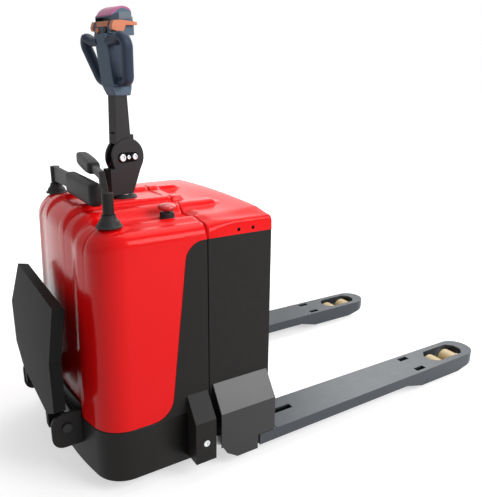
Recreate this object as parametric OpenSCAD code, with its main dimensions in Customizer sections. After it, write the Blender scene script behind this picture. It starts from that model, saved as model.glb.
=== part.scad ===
// Electric pallet truck with a folding rider platform and folding side arms.
// Millimetres, +Z up, +X towards the fork tips. Inside the modules x = 0 is the rear face
// of the battery box. The finished truck is shifted so that its origin is the centre of its base.
// "left" is +Y and "right" is -Y, seen by a rider who looks along the forks.

/* [Body] */
// Width of the drive housing and of the battery box
body_w = 730; // [700:5:760]
// Length from the front of the drive housing to the rear face of the battery box
body_len = 615; // [600:5:640]
// Radius of the bowed front
front_bow_r = 1260; // [1000:20:2000]
// Radius of the upright front corners
corner_r = 100; // [80:5:120]
// Wall of the cowl, the skirt and the side panels
shell_t = 5; // [4:0.5:6]
// Lower edge of the black skirt
skirt_low = 44; // [35:1:60]
// Height where the black skirt meets the red cowl
skirt_top = 220; // [200:5:240]
// Height of the flat middle of the hood
hood_z = 852; // [845:1:860]
// Depth of the black side panels' top below the hood
panel_drop = 64; // [52:2:82]
// Radius of the hood's side edges
hood_edge_r = 45; // [35:1:48]
// Length of the battery box and of its cover
box_len = 228; // [220:1:240]
// Gap between the cowl and the battery cover
seam = 2; // [1.5:0.5:6]

/* [Forks] */
// Length of the forks behind the battery box
fork_len = 1095; // [1085:5:1220]
// Width over the forks
fork_spread = 850; // [830:5:870]
// Width of a fork at its root
fork_root_w = 155; // [145:1:165]
// Width of a fork at its tip
fork_tip_w = 140; // [130:1:145]
// Height of the fork's upper face
fork_top = 90; // [85:1:95]
// Plate thickness of the forks
fork_t = 8; // [6:0.5:9]
// Lift of the forks
lift_h = 115; // [100:5:120]

/* [Load rollers] */
// Roller diameter
roller_d = 80; // [74:1:82]
// Roller width
roller_w = 70; // [60:1:74]
// Distance between the two rollers of a fork
roller_pitch = 100; // [92:1:110]
// Place of the rollers' bogie along the fork
bogie_x = 941; // [900:1:960]
// Length of the wheel arm from its pivot to the bogie
wheel_arm_len = 179; // [160:1:190]

/* [Drive unit] */
// Place of the steering axis in front of the rear face
steer_back = 345; // [335:1:355]
// Drive wheel diameter
drive_wheel_d = 210; // [190:5:215]
// Drive wheel width
drive_wheel_w = 70; // [60:1:75]
// Traction motor diameter
motor_d = 160; // [140:5:170]
// Traction motor height
motor_h = 230; // [200:5:240]

/* [Castors] */
// Castor wheel diameter
castor_d = 115; // [100:5:120]
// Castor wheel width
castor_w = 36; // [30:1:40]
// Castor trail
castor_trail = 35; // [25:1:38]
// Half distance between the castors
castor_y = 255; // [240:1:258]

/* [Tiller] */
// Steering angle of the standing truck in degrees
steer_rest = 15; // [0:1:20]
// Width of the tiller base and arm
tiller_w = 42; // [38:1:50]
// Height of the tilt pivot above the hood
tilt_rise = 132; // [122:1:142]
// Radius of the round hump about the tilt pivot
hump_r = 61; // [56:1:64]
// Height above the hood where the arm carries the handle head
head_rise = 326; // [316:1:340]
// Half width over the handle bows
bow_half = 118; // [112:1:124]
// Thickness of the handle bows
bow_t = 24; // [20:1:26]

/* [Side arms] */
// Half distance between the posts of the side arms
post_y = 285; // [275:1:290]
// Place of the posts in front of the rear face
post_back = 495; // [485:1:500]
// Reach of a side arm from its post to the end of its pad
arm_reach = 475; // [440:5:480]
// Length of an arm pad
pad_len = 275; // [240:5:290]
// Thickness of an arm pad
pad_t = 42; // [36:1:46]

/* [Platform] */
// Width of the platform
platform_w = 550; // [500:10:560]
// Width of the platform at its hinge
platform_root_w = 340; // [330:2:352]
// Length from the hinge end to the crease
platform_low_len = 219; // [200:1:240]
// Length from the crease to the free end
platform_high_len = 151; // [130:1:160]
// Depth of the platform's rim
rim_d = 35; // [25:1:36]
// Sheet thickness of the platform
tray_t = 4; // [3:0.5:5]

/* [Fits] */
// Radial clearance of a running fit
run_fit = 0.05; // [0.03:0.01:0.1]
// Gap between pieces that pass each other
pass_gap = 0.4; // [0.3:0.1:0.6]

/* [Hidden] */
$fn = 48;
eps = 1;

// Colours
red = "#d8141b";
black = "#2b2b2d";
gunmetal = "#3d4247";
steel = "#b9bcc0";
rubber = "#1b1b1c";
cream = "#d9c9a0";
orange = "#e0622a";
magenta = "#b3305a";
slate = "#39434d";
zinc = "#8d9296";

// Platform
hinge_x = -body_len - 29;
hinge_z = 196;
hinge_pin_r = 10;
pin_head_r = 15;
pin_head_t = 8;
ear_y = 205;
ear_t = 12;
ear_r = 36;
ear_reach = 46;
ear_rise = 47;
ear_drop = 70;
ear_root = -body_len + 30;
ear_plate_t = 4;
ear_plate_low = 130;
ear_plate_drop = 5;
tray_x = hinge_x - 47;
tray_z = hinge_z + 40;
mat_t = 5;
mat_margin = 8;
crease_gap = 12;
root_rise = 60;
tip_taper = 35;
knuckle_r = 17;
knuckle_in = 30;
tray_bend = 11.5;

// Overall places
body_half = body_w / 2;
panel_top = hood_z - panel_drop;
box_front = -box_len;
chassis_rear = box_front - seam;
x_shift = -(fork_len + tray_x) / 2;

// Plan of the body: a bowed front that runs into round corners
bow_x = -body_len + front_bow_r;
corner_y = body_half - corner_r;
corner_x = bow_x - sqrt(pow(front_bow_r - corner_r, 2) - pow(corner_y, 2));
corner_end = atan2(corner_y, corner_x - bow_x);

// Hood section: heights measured from the flat middle
ridge_rise = 10;
ridge_y = 96;
ridge_half = 16;
recess_y = 200;
recess_w = 58;
recess_drop = 30;
shoulder_drop = 22;
hood_front_r = 75;
shoulder_z = hood_z - shoulder_drop;
hood_low = shoulder_z - hood_edge_r;
boss_r = 38;
boss_depth = 15;

// Side boundary between the red cowl and the black panel
panel_front_top = -247;
panel_front_low = -323;
panel_low_r = 70;
panel_top_r = 60;

// Chassis
plate_z = 245;
plate_t = 12;
deck_z = plate_z + plate_t;
frame_low = skirt_low + 16;
bulkhead_t = 8;
bulkhead_top = 478;
frame_wall = 8;
steer_x = -steer_back;
turntable_r = 80;
bearing_t = 25;
castor_x = -430;
castor_post_r = 40;
castor_post_low = castor_d + 28;
kingpin_r = 12;
kingpin_len = 60;
kingpin_room = 2;
wheel_room = drive_wheel_d / 2 + 20;

// Link housing and fork cover
lever_room = 59;
side_box_w = max(lever_room, (fork_spread - body_w) / 2 - 1);
side_box_y = body_half + side_box_w;
housing_x0 = -307;
housing_x1 = chassis_rear - 5;
housing_low = 62;
housing_kink = 206;
housing_high = 283;
cover_x0 = -216;
cover_x1 = -8;
cover_kink = 210;
cover_high = 295;
link_x = -269;
link_z = 128;
link_pin_r = 8;
link_head_r = 15;
link_head_t = 0.9;

// Lift linkage: a rocker on the carriage turns about a cross tube
rocker_x = -118;
rocker_z = link_z - lift_h / 2;
lever_y = side_box_y - 29;
lever_t = 18;
lever_half = 16;
lever_run = rocker_x - link_x;
lever_far = sqrt(pow(lever_run, 2) + pow(lift_h / 2, 2));
lever_turn = 2 * atan(lift_h / 2 / lever_run);
tube_r = 16;
crank_len = 28;
rod_pin_r = 5;
fork_y = (fork_spread - fork_root_w) / 2;
arm_pivot_x = bogie_x - wheel_arm_len;
arm_pivot_z = 42;
roller_r = roller_d / 2;
arm_drop = asin((lift_h + arm_pivot_z - roller_r) / wheel_arm_len);
arm_rest = asin((arm_pivot_z - roller_r) / wheel_arm_len);
arm_turn = arm_drop - arm_rest;
arm_lever = crank_len * sin(lever_turn / 2) / sin(arm_turn / 2);
arm_pin_r = 9;
bogie_pin_r = 10;
roller_pin_r = 10;
bogie_plate_t = 6;

// Battery box
box_wall = 6;
box_floor_t = 12;
seat_drop = 2;
seat_z = fork_top - seat_drop;
seat_end = 1;
box_floor_top = fork_top + box_floor_t;
box_face = box_front + 2;

// Lift cylinders
cylinder_x = -275;
cylinder_y = 170;
cylinder_r = 27;
cylinder_top = bulkhead_top + 2;
lift_rod_r = 15;
head_bracket_z = cylinder_top + 20;
head_bracket_t = 20;
head_bracket_half = 30;

// Tiller
tilt_x = steer_x + 10;
tilt_z = hood_z + tilt_rise;
head_z = hood_z + head_rise;
base_front = steer_x - 60;
base_rear = steer_x + 24;
base_low = hood_z + 13;
cheek_t = 9;
pivot_pin_r = 7;
arm_front = steer_x - 33;
arm_taper = 6;
arm_rear = steer_x + 17;
column_r = 20;

// Side arms
post_r = 10;
hub_r = 16;
boot_z = shoulder_z + 3;
hub_z0 = boot_z + 34 + pass_gap;
hub_z1 = boot_z + 95;
post_top = hub_z1 - 8;
low_pad_z0 = hood_z + 16;
low_pad_z1 = low_pad_z0 + 70;
high_pad_z0 = low_pad_z1 + 5;
high_pad_z1 = high_pad_z0 + 46;
right_arm_toe = 8.5;
arm_bar_t = 16;

// Emergency stop
stop_x = -295;
stop_y = -230;
stop_z = hood_z - recess_drop;
stop_hole_r = 16;
stop_base_r = 22;
stop_base_h = 20;
stop_stem_r = 8;
stop_stem_h = 26;

// Helpers

// Colour and final place of a sub-part
module paint(c) {
    color(c) translate([x_shift, 0, 0]) children();
}

// Turns a piece of the drive unit by the steering angle of the standing truck
module steered() {
    translate([steer_x, 0, 0]) rotate(steer_rest) translate([-steer_x, 0, 0]) children();
}

// The child and its mirror image on the other side
module both_sides() {
    children();
    mirror([0, 1, 0]) children();
}

// A 2D outline in X and Z, extruded from y0 to y1
module across(y0, y1) {
    translate([0, y1, 0]) rotate([90, 0, 0]) linear_extrude(y1 - y0) children();
}

// A 2D outline in Y and Z, extruded from x0 to x1
module lengthwise(x0, x1) {
    translate([x0, 0, 0]) rotate([90, 0, 90]) linear_extrude(x1 - x0) children();
}

// A box between two corners
module block(a, b) {
    translate(a) cube(b - a);
}

// A round bar along Y
module bar_y(x, z, r, y0, y1) {
    translate([x, y1, z]) rotate([90, 0, 0]) cylinder(r = r, h = y1 - y0);
}

// A round bar along Z
module bar_z(x, y, r, z0, z1) {
    translate([x, y, z0]) cylinder(r = r, h = z1 - z0);
}

// A flat bar with round ends between two points in the XZ plane, from y0 to y1
module link(p, q, r, y0, y1) {
    d = q - p;
    a = atan2(d[1], d[0]);
    across(y0, y1) polygon(concat(arc(p, r, a + 90, a + 270, 12), arc(q, r, a - 90, a + 90, 12)));
}

// Points along an arc
function arc(c, r, a0, a1, n = 8) = [
    for (i = [0:n]) let (a = a0 + (a1 - a0) * i / n) c + r * [cos(a), sin(a)]
];

// Points mirrored in their first coordinate, in reverse order
function flipped(p) = [for (i = [len(p) - 1:-1:0]) [-p[i][0], p[i][1]]];

// Body shapes

// Plan of the drive housing, inset by i and cut square at x_end
module plan(i, x_end) {
    r = corner_r - i;
    polygon(concat(
        [[x_end, -body_half + i], [x_end, body_half - i]],
        arc([corner_x, corner_y], r, 90, corner_end),
        arc([bow_x, 0], front_bow_r - i, corner_end, 360 - corner_end, 16),
        arc([corner_x, -corner_y], r, 360 - corner_end, 270)
    ));
}

// Half section of the hood, from its middle to its side, lowered by i
function hood_half(i) = concat(
    [
        [ridge_y - ridge_half - 8, hood_z - i], [ridge_y - ridge_half, hood_z + ridge_rise - i],
        [ridge_y + ridge_half, hood_z + ridge_rise - i], [ridge_y + ridge_half + 8, hood_z - 4 - i],
        [ridge_y + ridge_half + 16, hood_z - 2 - i], [recess_y - 35, hood_z - 2 - i],
        [recess_y, stop_z - i], [recess_y + recess_w, stop_z - i], [recess_y + recess_w + 12, shoulder_z - i]
    ],
    arc([body_half - hood_edge_r, shoulder_z - hood_edge_r], hood_edge_r - i, 90, 0)
);

module hood_section(i) {
    half = hood_half(i);
    polygon(concat([[-body_half + i, 0]], flipped(half), half, [[body_half - i, 0]]));
}

// Side view of the hood, round at its front end and cut square at x_end
module hood_profile(i, x_end) {
    top = hood_z + ridge_rise;
    polygon(concat(
        [[x_end, 0], [x_end, top]],
        arc([-body_len + hood_front_r, top - hood_front_r], hood_front_r - i, 90, 180),
        [[-body_len + i, 0]]
    ));
}

// Solid drive housing, inset by i
module housing_solid(i, x_end) {
    intersection() {
        linear_extrude(hood_z + 2 * ridge_rise) plan(i, x_end);
        lengthwise(-body_len - eps, x_end) hood_section(i);
        across(-body_half, body_half) hood_profile(i, x_end);
    }
}

// Outline of the black side panel in X and Z
module panel_outline() {
    slope = atan2(panel_top - skirt_top, panel_front_top - panel_front_low);
    low = [panel_front_low - panel_low_r / 2, skirt_top];
    polygon(concat(
        [[chassis_rear, skirt_top], [chassis_rear, panel_top]],
        arc([panel_front_top + 6, panel_top - panel_top_r], panel_top_r, 90, 90 + slope),
        arc(low + panel_low_r * [-0.9, 1], panel_low_r, slope - 90, -90)
    ));
}

// Chassis

module chassis_plate() paint(black) difference() {
    translate([0, 0, plate_z]) linear_extrude(plate_t) plan(shell_t, chassis_rear);
    bar_z(steer_x, 0, turntable_r + 5, plate_z - eps, deck_z + eps);
    both_sides() bar_z(castor_x, castor_y, castor_post_r, plate_z - eps, deck_z + eps);
}

// Wall under the plate, round the nose and along both sides
module chassis_frame() paint(black)
    translate([0, 0, frame_low]) linear_extrude(plate_z - frame_low) difference() {
        plan(shell_t, chassis_rear);
        plan(shell_t + frame_wall, chassis_rear + eps);
    }

module castor_post() difference() {
    bar_z(castor_x, castor_y, castor_post_r, castor_post_low, deck_z);
    bar_z(castor_x, castor_y, kingpin_r + run_fit, castor_post_low - eps,
        castor_post_low + kingpin_len + kingpin_room);
}

// Posts of the castors, rear wings under the plate and the lift bulkhead above it
module chassis_uprights() paint(black) {
    both_sides() {
        castor_post();
        block([chassis_rear - bulkhead_t, wheel_room, frame_low],
            [chassis_rear, body_half - shell_t - frame_wall, plate_z]);
    }
    block([chassis_rear - bulkhead_t, -body_half + shell_t, deck_z],
        [chassis_rear, body_half - shell_t, bulkhead_top]);
}

module base_skirt() paint(black) {
    translate([0, 0, skirt_low]) linear_extrude(skirt_top - skirt_low) difference() {
        plan(0, chassis_rear);
        plan(shell_t, chassis_rear + eps);
    }
}

module cowl_shell() difference() {
    housing_solid(0, chassis_rear);
    housing_solid(shell_t, chassis_rear + eps);
}

// The part of the cowl's shell between two heights
module cowl_part(z0, z1) {
    intersection() {
        cowl_shell();
        block([-body_len - eps, -body_half - eps, z0], [chassis_rear, body_half + eps, z1]);
    }
}

module cowl_hood() paint(red) difference() {
    union() {
        cowl_part(hood_low, 2 * hood_z);
        both_sides() bar_z(-post_back, post_y, boss_r, shoulder_z - boss_depth, boot_z);
    }
    both_sides() bar_z(-post_back, post_y, post_r, shoulder_z - boss_depth - eps, boot_z + eps);
    both_sides() across(body_half - shell_t - eps, body_half + eps) panel_outline();
    bar_z(steer_x, 0, column_r + 6, hood_z - 20, hood_z + 20);
    bar_z(stop_x, stop_y, stop_hole_r, stop_z - 20, stop_z + 20);
}

module cowl_front() paint(red) difference() {
    cowl_part(skirt_top, hood_low);
    both_sides() across(body_half - shell_t - eps, body_half + eps) panel_outline();
}

module side_panels() paint(black) both_sides() across(body_half - shell_t, body_half) panel_outline();

// Section of a side box in Y and Z: upright outside with a sloping top, or its hollow inset by i
module side_box_section(low, kink, high, i = 0) {
    cut = i > 0 ? eps : 0;
    polygon([
        [body_half - cut, low - cut], [side_box_y - i, low - cut],
        [side_box_y - i, kink - i / 2], [body_half - cut, high - 1.5 * i]
    ]);
}

module link_housings() paint(black) both_sides() difference() {
    lengthwise(housing_x0, housing_x1) side_box_section(housing_low, housing_kink, housing_high);
    lengthwise(housing_x0 + shell_t, housing_x1 + eps)
        side_box_section(housing_low, housing_kink, housing_high, shell_t);
    bar_y(link_x, link_z, link_pin_r, side_box_y - 2 * shell_t, side_box_y + eps);
}

module link_pivot_bolts() paint(steel) both_sides() {
    bar_y(link_x, link_z, link_pin_r, body_half, side_box_y);
    bar_y(link_x, link_z, link_head_r, side_box_y, side_box_y + link_head_t);
}

module platform_bracket() paint(black) {
    ear_front = hinge_x - ear_reach;
    ear_top = hinge_z + ear_rise;
    ear_low = hinge_z - ear_drop;
    difference() {
        union() {
            block([-body_len - ear_plate_t, -ear_y - ear_t / 2, ear_plate_low],
                [ear_root, ear_y + ear_t / 2, skirt_top - ear_plate_drop]);
            both_sides() across(ear_y - ear_t / 2, ear_y + ear_t / 2) polygon(concat(
                arc([ear_front + ear_r, ear_top - ear_r], ear_r, 90, 180),
                arc([ear_front + ear_r, ear_low + ear_r], ear_r, 180, 270),
                [[ear_root, ear_low], [ear_root, ear_top]]
            ));
        }
        translate([0, 0, -eps]) linear_extrude(ear_top + 2 * eps) plan(0, chassis_rear);
        bar_y(hinge_x, hinge_z, hinge_pin_r, -body_half, body_half);
    }
}

module platform_hinge_pin() paint(steel) {
    ear_side = ear_y + ear_t / 2;
    bar_y(hinge_x, hinge_z, hinge_pin_r, -ear_side, ear_side);
    both_sides() bar_y(hinge_x, hinge_z, pin_head_r, ear_side, ear_side + pin_head_t);
}

// Inner pieces stand behind the front of the housing

tank_x = -body_len + 50;
tank_len = 100;
tank_y = -300;
tank_w = 95;
tank_h = 160;
filler_r = 18;
filler_h = 15;
pump_x = -body_len + 100;
pump_y = -150;
pump_r = 45;
pump_h = 170;
pump_cap_r = 30;
pump_cap_h = 20;
controller_x = -body_len + 75;
controller_len = 100;
controller_y = 110;
controller_w = 160;
controller_base_t = 20;
fin_t = 4;
fin_pitch = 10;
fin_h = 40;

module hydraulic_tank() paint(zinc) {
    block([tank_x, tank_y, deck_z], [tank_x + tank_len, tank_y + tank_w, deck_z + tank_h]);
    tank_top = deck_z + tank_h;
    bar_z(tank_x + tank_len / 2, tank_y + tank_w / 2, filler_r, tank_top, tank_top + filler_h);
}

module pump_motor() paint(gunmetal) {
    bar_z(pump_x, pump_y, pump_r, deck_z, deck_z + pump_h);
    bar_z(pump_x, pump_y, pump_cap_r, deck_z + pump_h, deck_z + pump_h + pump_cap_h);
}

module motor_controller() paint(zinc) {
    base_top = deck_z + controller_base_t;
    rear = controller_x + controller_len;
    left = controller_y + controller_w;
    block([controller_x, controller_y, deck_z], [rear, left, base_top]);
    for (x = [controller_x + fin_t:fin_pitch:rear - fin_t])
        block([x, controller_y + fin_t, base_top], [x + fin_t, left - fin_t, base_top + fin_h]);
}

module lift_cylinders() paint(zinc) both_sides() difference() {
    bar_z(cylinder_x, cylinder_y, cylinder_r, deck_z, cylinder_top);
    bar_z(cylinder_x, cylinder_y, lift_rod_r + run_fit, deck_z + 20, cylinder_top + eps);
}

module steer_bearing() paint(steel) difference() {
    bar_z(steer_x, 0, turntable_r + 18, deck_z, deck_z + bearing_t);
    bar_z(steer_x, 0, turntable_r, deck_z - eps, deck_z + bearing_t + eps);
}

// Emergency stop

module stop_switch_base() paint(rubber) difference() {
    union() {
        bar_z(stop_x, stop_y, stop_hole_r - 0.5, stop_z - 30, stop_z);
        bar_z(stop_x, stop_y, stop_base_r, stop_z, stop_z + stop_base_h);
    }
    bar_z(stop_x, stop_y, stop_stem_r + run_fit, stop_z - 10, stop_z + stop_base_h + eps);
}

module stop_knob() paint(red) {
    bar_z(stop_x, stop_y, stop_stem_r, stop_z - 5, stop_z + stop_stem_h);
    translate([stop_x, stop_y, stop_z + stop_stem_h]) rotate_extrude()
        polygon(concat([[0, 0], [20, 0]], arc([20, 8], 8, -90, 60, 6), [[0, 20]]));
}

// Platform

// Lower panel outline in Y and along the sheet, inset by i
module low_panel(i) {
    h = platform_w / 2 - i;
    r = platform_root_w / 2 - i;
    side = root_rise + i / 2;
    polygon([[-r, i], [r, i], [h, side], [h, platform_low_len], [-h, platform_low_len], [-h, side]]);
}

// Upper panel outline, inset by i
module high_panel(i) {
    h = platform_w / 2 - i;
    tip = h - tip_taper;
    polygon([[-h, 0], [h, 0], [tip, platform_high_len - i], [-tip, platform_high_len - i]]);
}

// Frames of the two panels: outline in Y and Z, depth towards +X
module low_panel_frame() {
    translate([tray_x, 0, tray_z]) rotate([90, 0, 90]) children();
}

module high_panel_frame() {
    translate([tray_x, 0, tray_z + platform_low_len]) rotate([0, tray_bend, 0]) rotate([90, 0, 90]) children();
}

module platform_tray() paint(black) {
    knuckle_y1 = ear_y - ear_t / 2 - pass_gap;
    knuckle_y0 = platform_root_w / 2 - knuckle_in;
    difference() {
        union() {
            low_panel_frame() difference() {
                linear_extrude(rim_d) low_panel(0);
                translate([0, 0, tray_t]) linear_extrude(rim_d) low_panel(tray_t);
            }
            high_panel_frame() difference() {
                linear_extrude(rim_d) high_panel(0);
                translate([0, 0, tray_t]) linear_extrude(rim_d) high_panel(tray_t);
            }
            both_sides() bar_y(hinge_x, hinge_z, knuckle_r, knuckle_y0, knuckle_y1);
            both_sides() block([tray_x + 2, knuckle_y0, hinge_z - 10],
                [hinge_x, platform_root_w / 2, tray_z + 3]);
        }
        bar_y(hinge_x, hinge_z, hinge_pin_r + run_fit, -body_half, body_half);
    }
}

module platform_mat() paint(rubber) {
    low_panel_frame() translate([0, 0, tray_t]) linear_extrude(mat_t) intersection() {
        low_panel(tray_t + mat_margin);
        translate([-platform_w / 2, 0]) square([platform_w, platform_low_len - crease_gap]);
    }
    high_panel_frame() translate([0, 0, tray_t]) linear_extrude(mat_t) intersection() {
        high_panel(tray_t + mat_margin);
        translate([-platform_w / 2, crease_gap]) square([platform_w, platform_high_len]);
    }
}

// Side arms

module arm_posts() paint(steel) both_sides() {
    bar_z(-post_back, post_y, post_r, shoulder_z - 40, post_top);
    bar_z(-post_back, post_y, 26, shoulder_z - boss_depth - 7, shoulder_z - boss_depth);
}

module arm_boots() paint(rubber) both_sides() translate([-post_back, post_y, boot_z]) rotate_extrude()
    polygon(concat([[post_r, 0], [34, 0], [34, 5]], arc([42, 34], 22, 235, 180, 5), [[post_r, 34]]));

// Frame of a side arm: +X runs along the folded arm from its post, +Z up
module left_arm_frame() {
    translate([-post_back, post_y, 0]) rotate(-90) children();
}

module right_arm_frame() {
    translate([-post_back, -post_y, 0]) rotate(90 - right_arm_toe) children();
}

module arm_hub() {
    difference() {
        bar_z(0, 0, hub_r, hub_z0, hub_z1);
        bar_z(0, 0, post_r + run_fit, hub_z0 - eps, post_top + pass_gap);
    }
}

// Upright bar of an arm from its hub into its pad
module arm_bar(pts) {
    difference() {
        across(-arm_bar_t / 2, arm_bar_t / 2) polygon(pts);
        bar_z(0, 0, hub_r - 2, 0, 2 * hood_z);
    }
}

pad_start = arm_reach - pad_len;
bar_end = arm_reach - 30;

module left_bar() arm_bar([
    [0, hub_z0 + 8], [pad_start, low_pad_z0 + 14], [bar_end, low_pad_z0 + 14],
    [bar_end, low_pad_z1 - 14], [pad_start, low_pad_z1 - 10], [0, hub_z1]
]);

module right_bar() arm_bar([
    [0, hub_z0 + 8], [30, hub_z0 + 12], [85, high_pad_z0 + 12], [bar_end, high_pad_z0 + 14],
    [bar_end, high_pad_z1 - 14], [70, high_pad_z1 - 12], [22, hub_z1], [0, hub_z1]
]);

// Upright pad with round edges along its length
module pad_solid(x0, z0, z1) {
    r = 14;
    translate([x0, 0, 0]) rotate([90, 0, 90]) linear_extrude(pad_len) polygon(concat(
        arc([pad_t / 2 - r, z1 - r], r, 0, 90, 4), arc([-pad_t / 2 + r, z1 - r], r, 90, 180, 4),
        arc([-pad_t / 2 + r, z0 + r], r, 180, 270, 4), arc([pad_t / 2 - r, z0 + r], r, 270, 360, 4)
    ));
}

module side_arm_left() paint(black) left_arm_frame() {
    arm_hub();
    left_bar();
}

module side_arm_right() paint(black) right_arm_frame() {
    arm_hub();
    right_bar();
}

module arm_pad_left() paint(rubber) left_arm_frame() difference() {
    pad_solid(pad_start, low_pad_z0, low_pad_z1);
    left_bar();
}

module arm_pad_right() paint(rubber) right_arm_frame() difference() {
    pad_solid(pad_start, high_pad_z0, high_pad_z1);
    right_bar();
}

// Drive unit

wheel_r = drive_wheel_d / 2;
leg_y = drive_wheel_w / 2 + 5;
flange_z = deck_z + bearing_t + pass_gap;
motor_z = flange_z + 8;
brake_z = motor_z + motor_h;
column_z = brake_z + 50;
hub_wheel_r = wheel_r - 38;
axle_r = 20;
hub_hole_at = 48;
hub_hole_r = 7;
hub_hole_depth = 10;
gearbox_r = 50;
gearbox_w = 42;
gearbox_top = plate_z - 5;
groove = 8;
groove_end = 20;
column_flange_t = 12;

module drive_gearbox() paint(zinc) steered() {
    bar_z(steer_x, 0, turntable_r - run_fit, deck_z, flange_z);
    bar_z(steer_x, 0, turntable_r - 5, gearbox_top, deck_z);
    bar_z(steer_x, 0, turntable_r + 14, flange_z, motor_z);
    across(leg_y, leg_y + gearbox_w) {
        translate([steer_x, wheel_r]) circle(gearbox_r);
        translate([steer_x - gearbox_r, wheel_r]) square([2 * gearbox_r, gearbox_top - wheel_r]);
    }
    bar_y(steer_x, wheel_r, axle_r, -drive_wheel_w / 2 + 8, leg_y);
}

module traction_motor() paint(gunmetal) steered() difference() {
    bar_z(steer_x, 0, motor_d / 2, motor_z, brake_z);
    for (a = [0:30:330]) translate([steer_x, 0, motor_z + groove_end]) rotate(a)
        translate([(motor_d - groove) / 2, -groove / 2, 0]) cube([groove, groove, motor_h - 2 * groove_end]);
}

module motor_brake() paint(zinc) steered() bar_z(steer_x, 0, motor_d / 2 - 20, brake_z, column_z);

module steer_column() paint(steel) steered() {
    bar_z(steer_x, 0, motor_d / 2 - 30, column_z, column_z + column_flange_t);
    bar_z(steer_x, 0, column_r, column_z + column_flange_t, base_low);
}

module drive_wheel_hub() paint(zinc) steered() difference() {
    bar_y(steer_x, wheel_r, hub_wheel_r, -drive_wheel_w / 2, drive_wheel_w / 2);
    bar_y(steer_x, wheel_r, axle_r + run_fit, -drive_wheel_w / 2 + 7, drive_wheel_w);
    for (a = [0:60:300])
        bar_y(steer_x + hub_hole_at * cos(a), wheel_r + hub_hole_at * sin(a), hub_hole_r,
            -drive_wheel_w, -drive_wheel_w / 2 + hub_hole_depth);
}

module drive_wheel_tyre() paint(rubber) steered() difference() {
    bar_y(steer_x, wheel_r, wheel_r, -drive_wheel_w / 2, drive_wheel_w / 2);
    bar_y(steer_x, wheel_r, hub_wheel_r, -drive_wheel_w, drive_wheel_w);
}

// Tiller

lug_half = tiller_w / 2 - cheek_t - pass_gap;
ledge_z = tilt_z - hump_r * 0.55;
bolt_back = 24;

module tiller_base() paint(black) steered() difference() {
    across(-tiller_w / 2, tiller_w / 2) {
        translate([tilt_x, tilt_z]) circle(hump_r);
        polygon([
            [base_front, base_low], [base_rear, base_low], [tilt_x + hump_r * 0.8, tilt_z - hump_r * 0.6],
            [tilt_x, tilt_z], [tilt_x - hump_r * 0.9, ledge_z], [base_front, ledge_z]
        ]);
    }
    across(-tiller_w / 2 + cheek_t, tiller_w / 2 - cheek_t) {
        translate([tilt_x, tilt_z]) circle(hump_r - 8);
        translate([tilt_x - hump_r - eps, tilt_z - hump_r / 4]) square([2 * hump_r + 2 * eps, 2 * hump_r]);
    }
    bar_y(tilt_x, tilt_z, pivot_pin_r, -tiller_w, tiller_w);
}

module tiller_pivot_bolts() paint(steel) steered() {
    bar_y(tilt_x, tilt_z, pivot_pin_r, -tiller_w / 2, tiller_w / 2);
    both_sides() {
        bar_y(tilt_x, tilt_z, pivot_pin_r + 1, tiller_w / 2, tiller_w / 2 + 3);
        bar_y(tilt_x - bolt_back, tilt_z, pivot_pin_r + 4, tiller_w / 2, tiller_w / 2 + 5);
        bar_y(tilt_x + bolt_back, tilt_z, pivot_pin_r + 2, tiller_w / 2, tiller_w / 2 + 4);
    }
}

module tiller_arm() paint(black) steered() difference() {
    union() {
        difference() {
            across(-tiller_w / 2 + 1, tiller_w / 2 - 1) polygon([
                [arm_front, tilt_z + hump_r * 0.55], [arm_front + arm_taper, head_z], [arm_rear, head_z],
                [arm_rear + arm_taper, tilt_z + hump_r], [arm_rear + arm_taper, tilt_z + hump_r * 0.8],
                [tilt_x, tilt_z]
            ]);
            bar_y(tilt_x, tilt_z, hump_r + 1, -tiller_w, tiller_w);
        }
        across(-lug_half, lug_half) {
            translate([tilt_x, tilt_z]) circle(hump_r / 2);
            translate([tilt_x - hump_r / 2, tilt_z]) square([hump_r, hump_r + 10]);
        }
    }
    bar_y(tilt_x, tilt_z, pivot_pin_r + run_fit, -tiller_w, tiller_w);
}

// Handle head: its own frame stands on the arm, above the steering axis
head_h = 228;
cap_front_h = 214;
clamp_h = 28;
clamp_half = 24;
spine_half = 30;
spine_rear = 30;
spine_low_front = -40;
spine_top_front = -57;
cap_low = 178;
cap_half = 41;
cap_x0 = -48;
cap_x1 = 40;
cap_edge_r = 16;
bow_x0 = -46;
bow_x1 = -10;
bow_top = 186;
bow_shelf = 171;
bow_shelf_run = 34;
bow_low_half = 90;
bow_bend_z = 68;
bow_r = 40;
bow_lean = 14;
bow_lean_z = 110;
wing_x = -14;
wing_z = 200;
wing_shaft_r = 6;
wing_t = 14;
button_r = 8;
button_y = 20;
button_z = 188;
button_depth = 28;
button_proud = 5;
belly_travel = 8;
belly_well = 208;
belly_x0 = -35;
belly_x1 = 18;
belly_y = 30;
belly_half = 40;
belly_low = [[-41, 223.5], [33, 240]];
belly_top = [[33, 248], [27, 254], [18, 257.5], [8, 259], [-4, 258], [-18, 252], [-30, 243.5], [-41, 230]];
wing_side = [
    [-30, 185], [-48, 188], [-51, 198], [-44, 214], [-20, 217], [40, 215], [40, 206], [0, 204], [-10, 186]
];

module head_frame() {
    steered() translate([steer_x, 0, head_z]) children();
}

// Finger loop of a bow in Y and Z, narrow at the clamp: outer outline, or its gap
module bow_outline(gap) {
    g = gap ? bow_t : 0;
    root = spine_half + (gap ? bow_t / 4 : 0);
    low = [bow_low_half - bow_r, bow_bend_z];
    high = [bow_half - bow_r, bow_top - bow_r];
    splay = -atan2(high[0] - low[0], high[1] - low[1]);
    polygon(concat(
        [[root, clamp_h + g], [root + bow_t / 3, clamp_h + g]],
        arc(low, bow_r - g, -68, splay, 5),
        arc(high, bow_r - g, splay, 70, 6),
        [[spine_half + bow_shelf_run, bow_shelf - g], [root, bow_shelf - g]]
    ));
}

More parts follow.
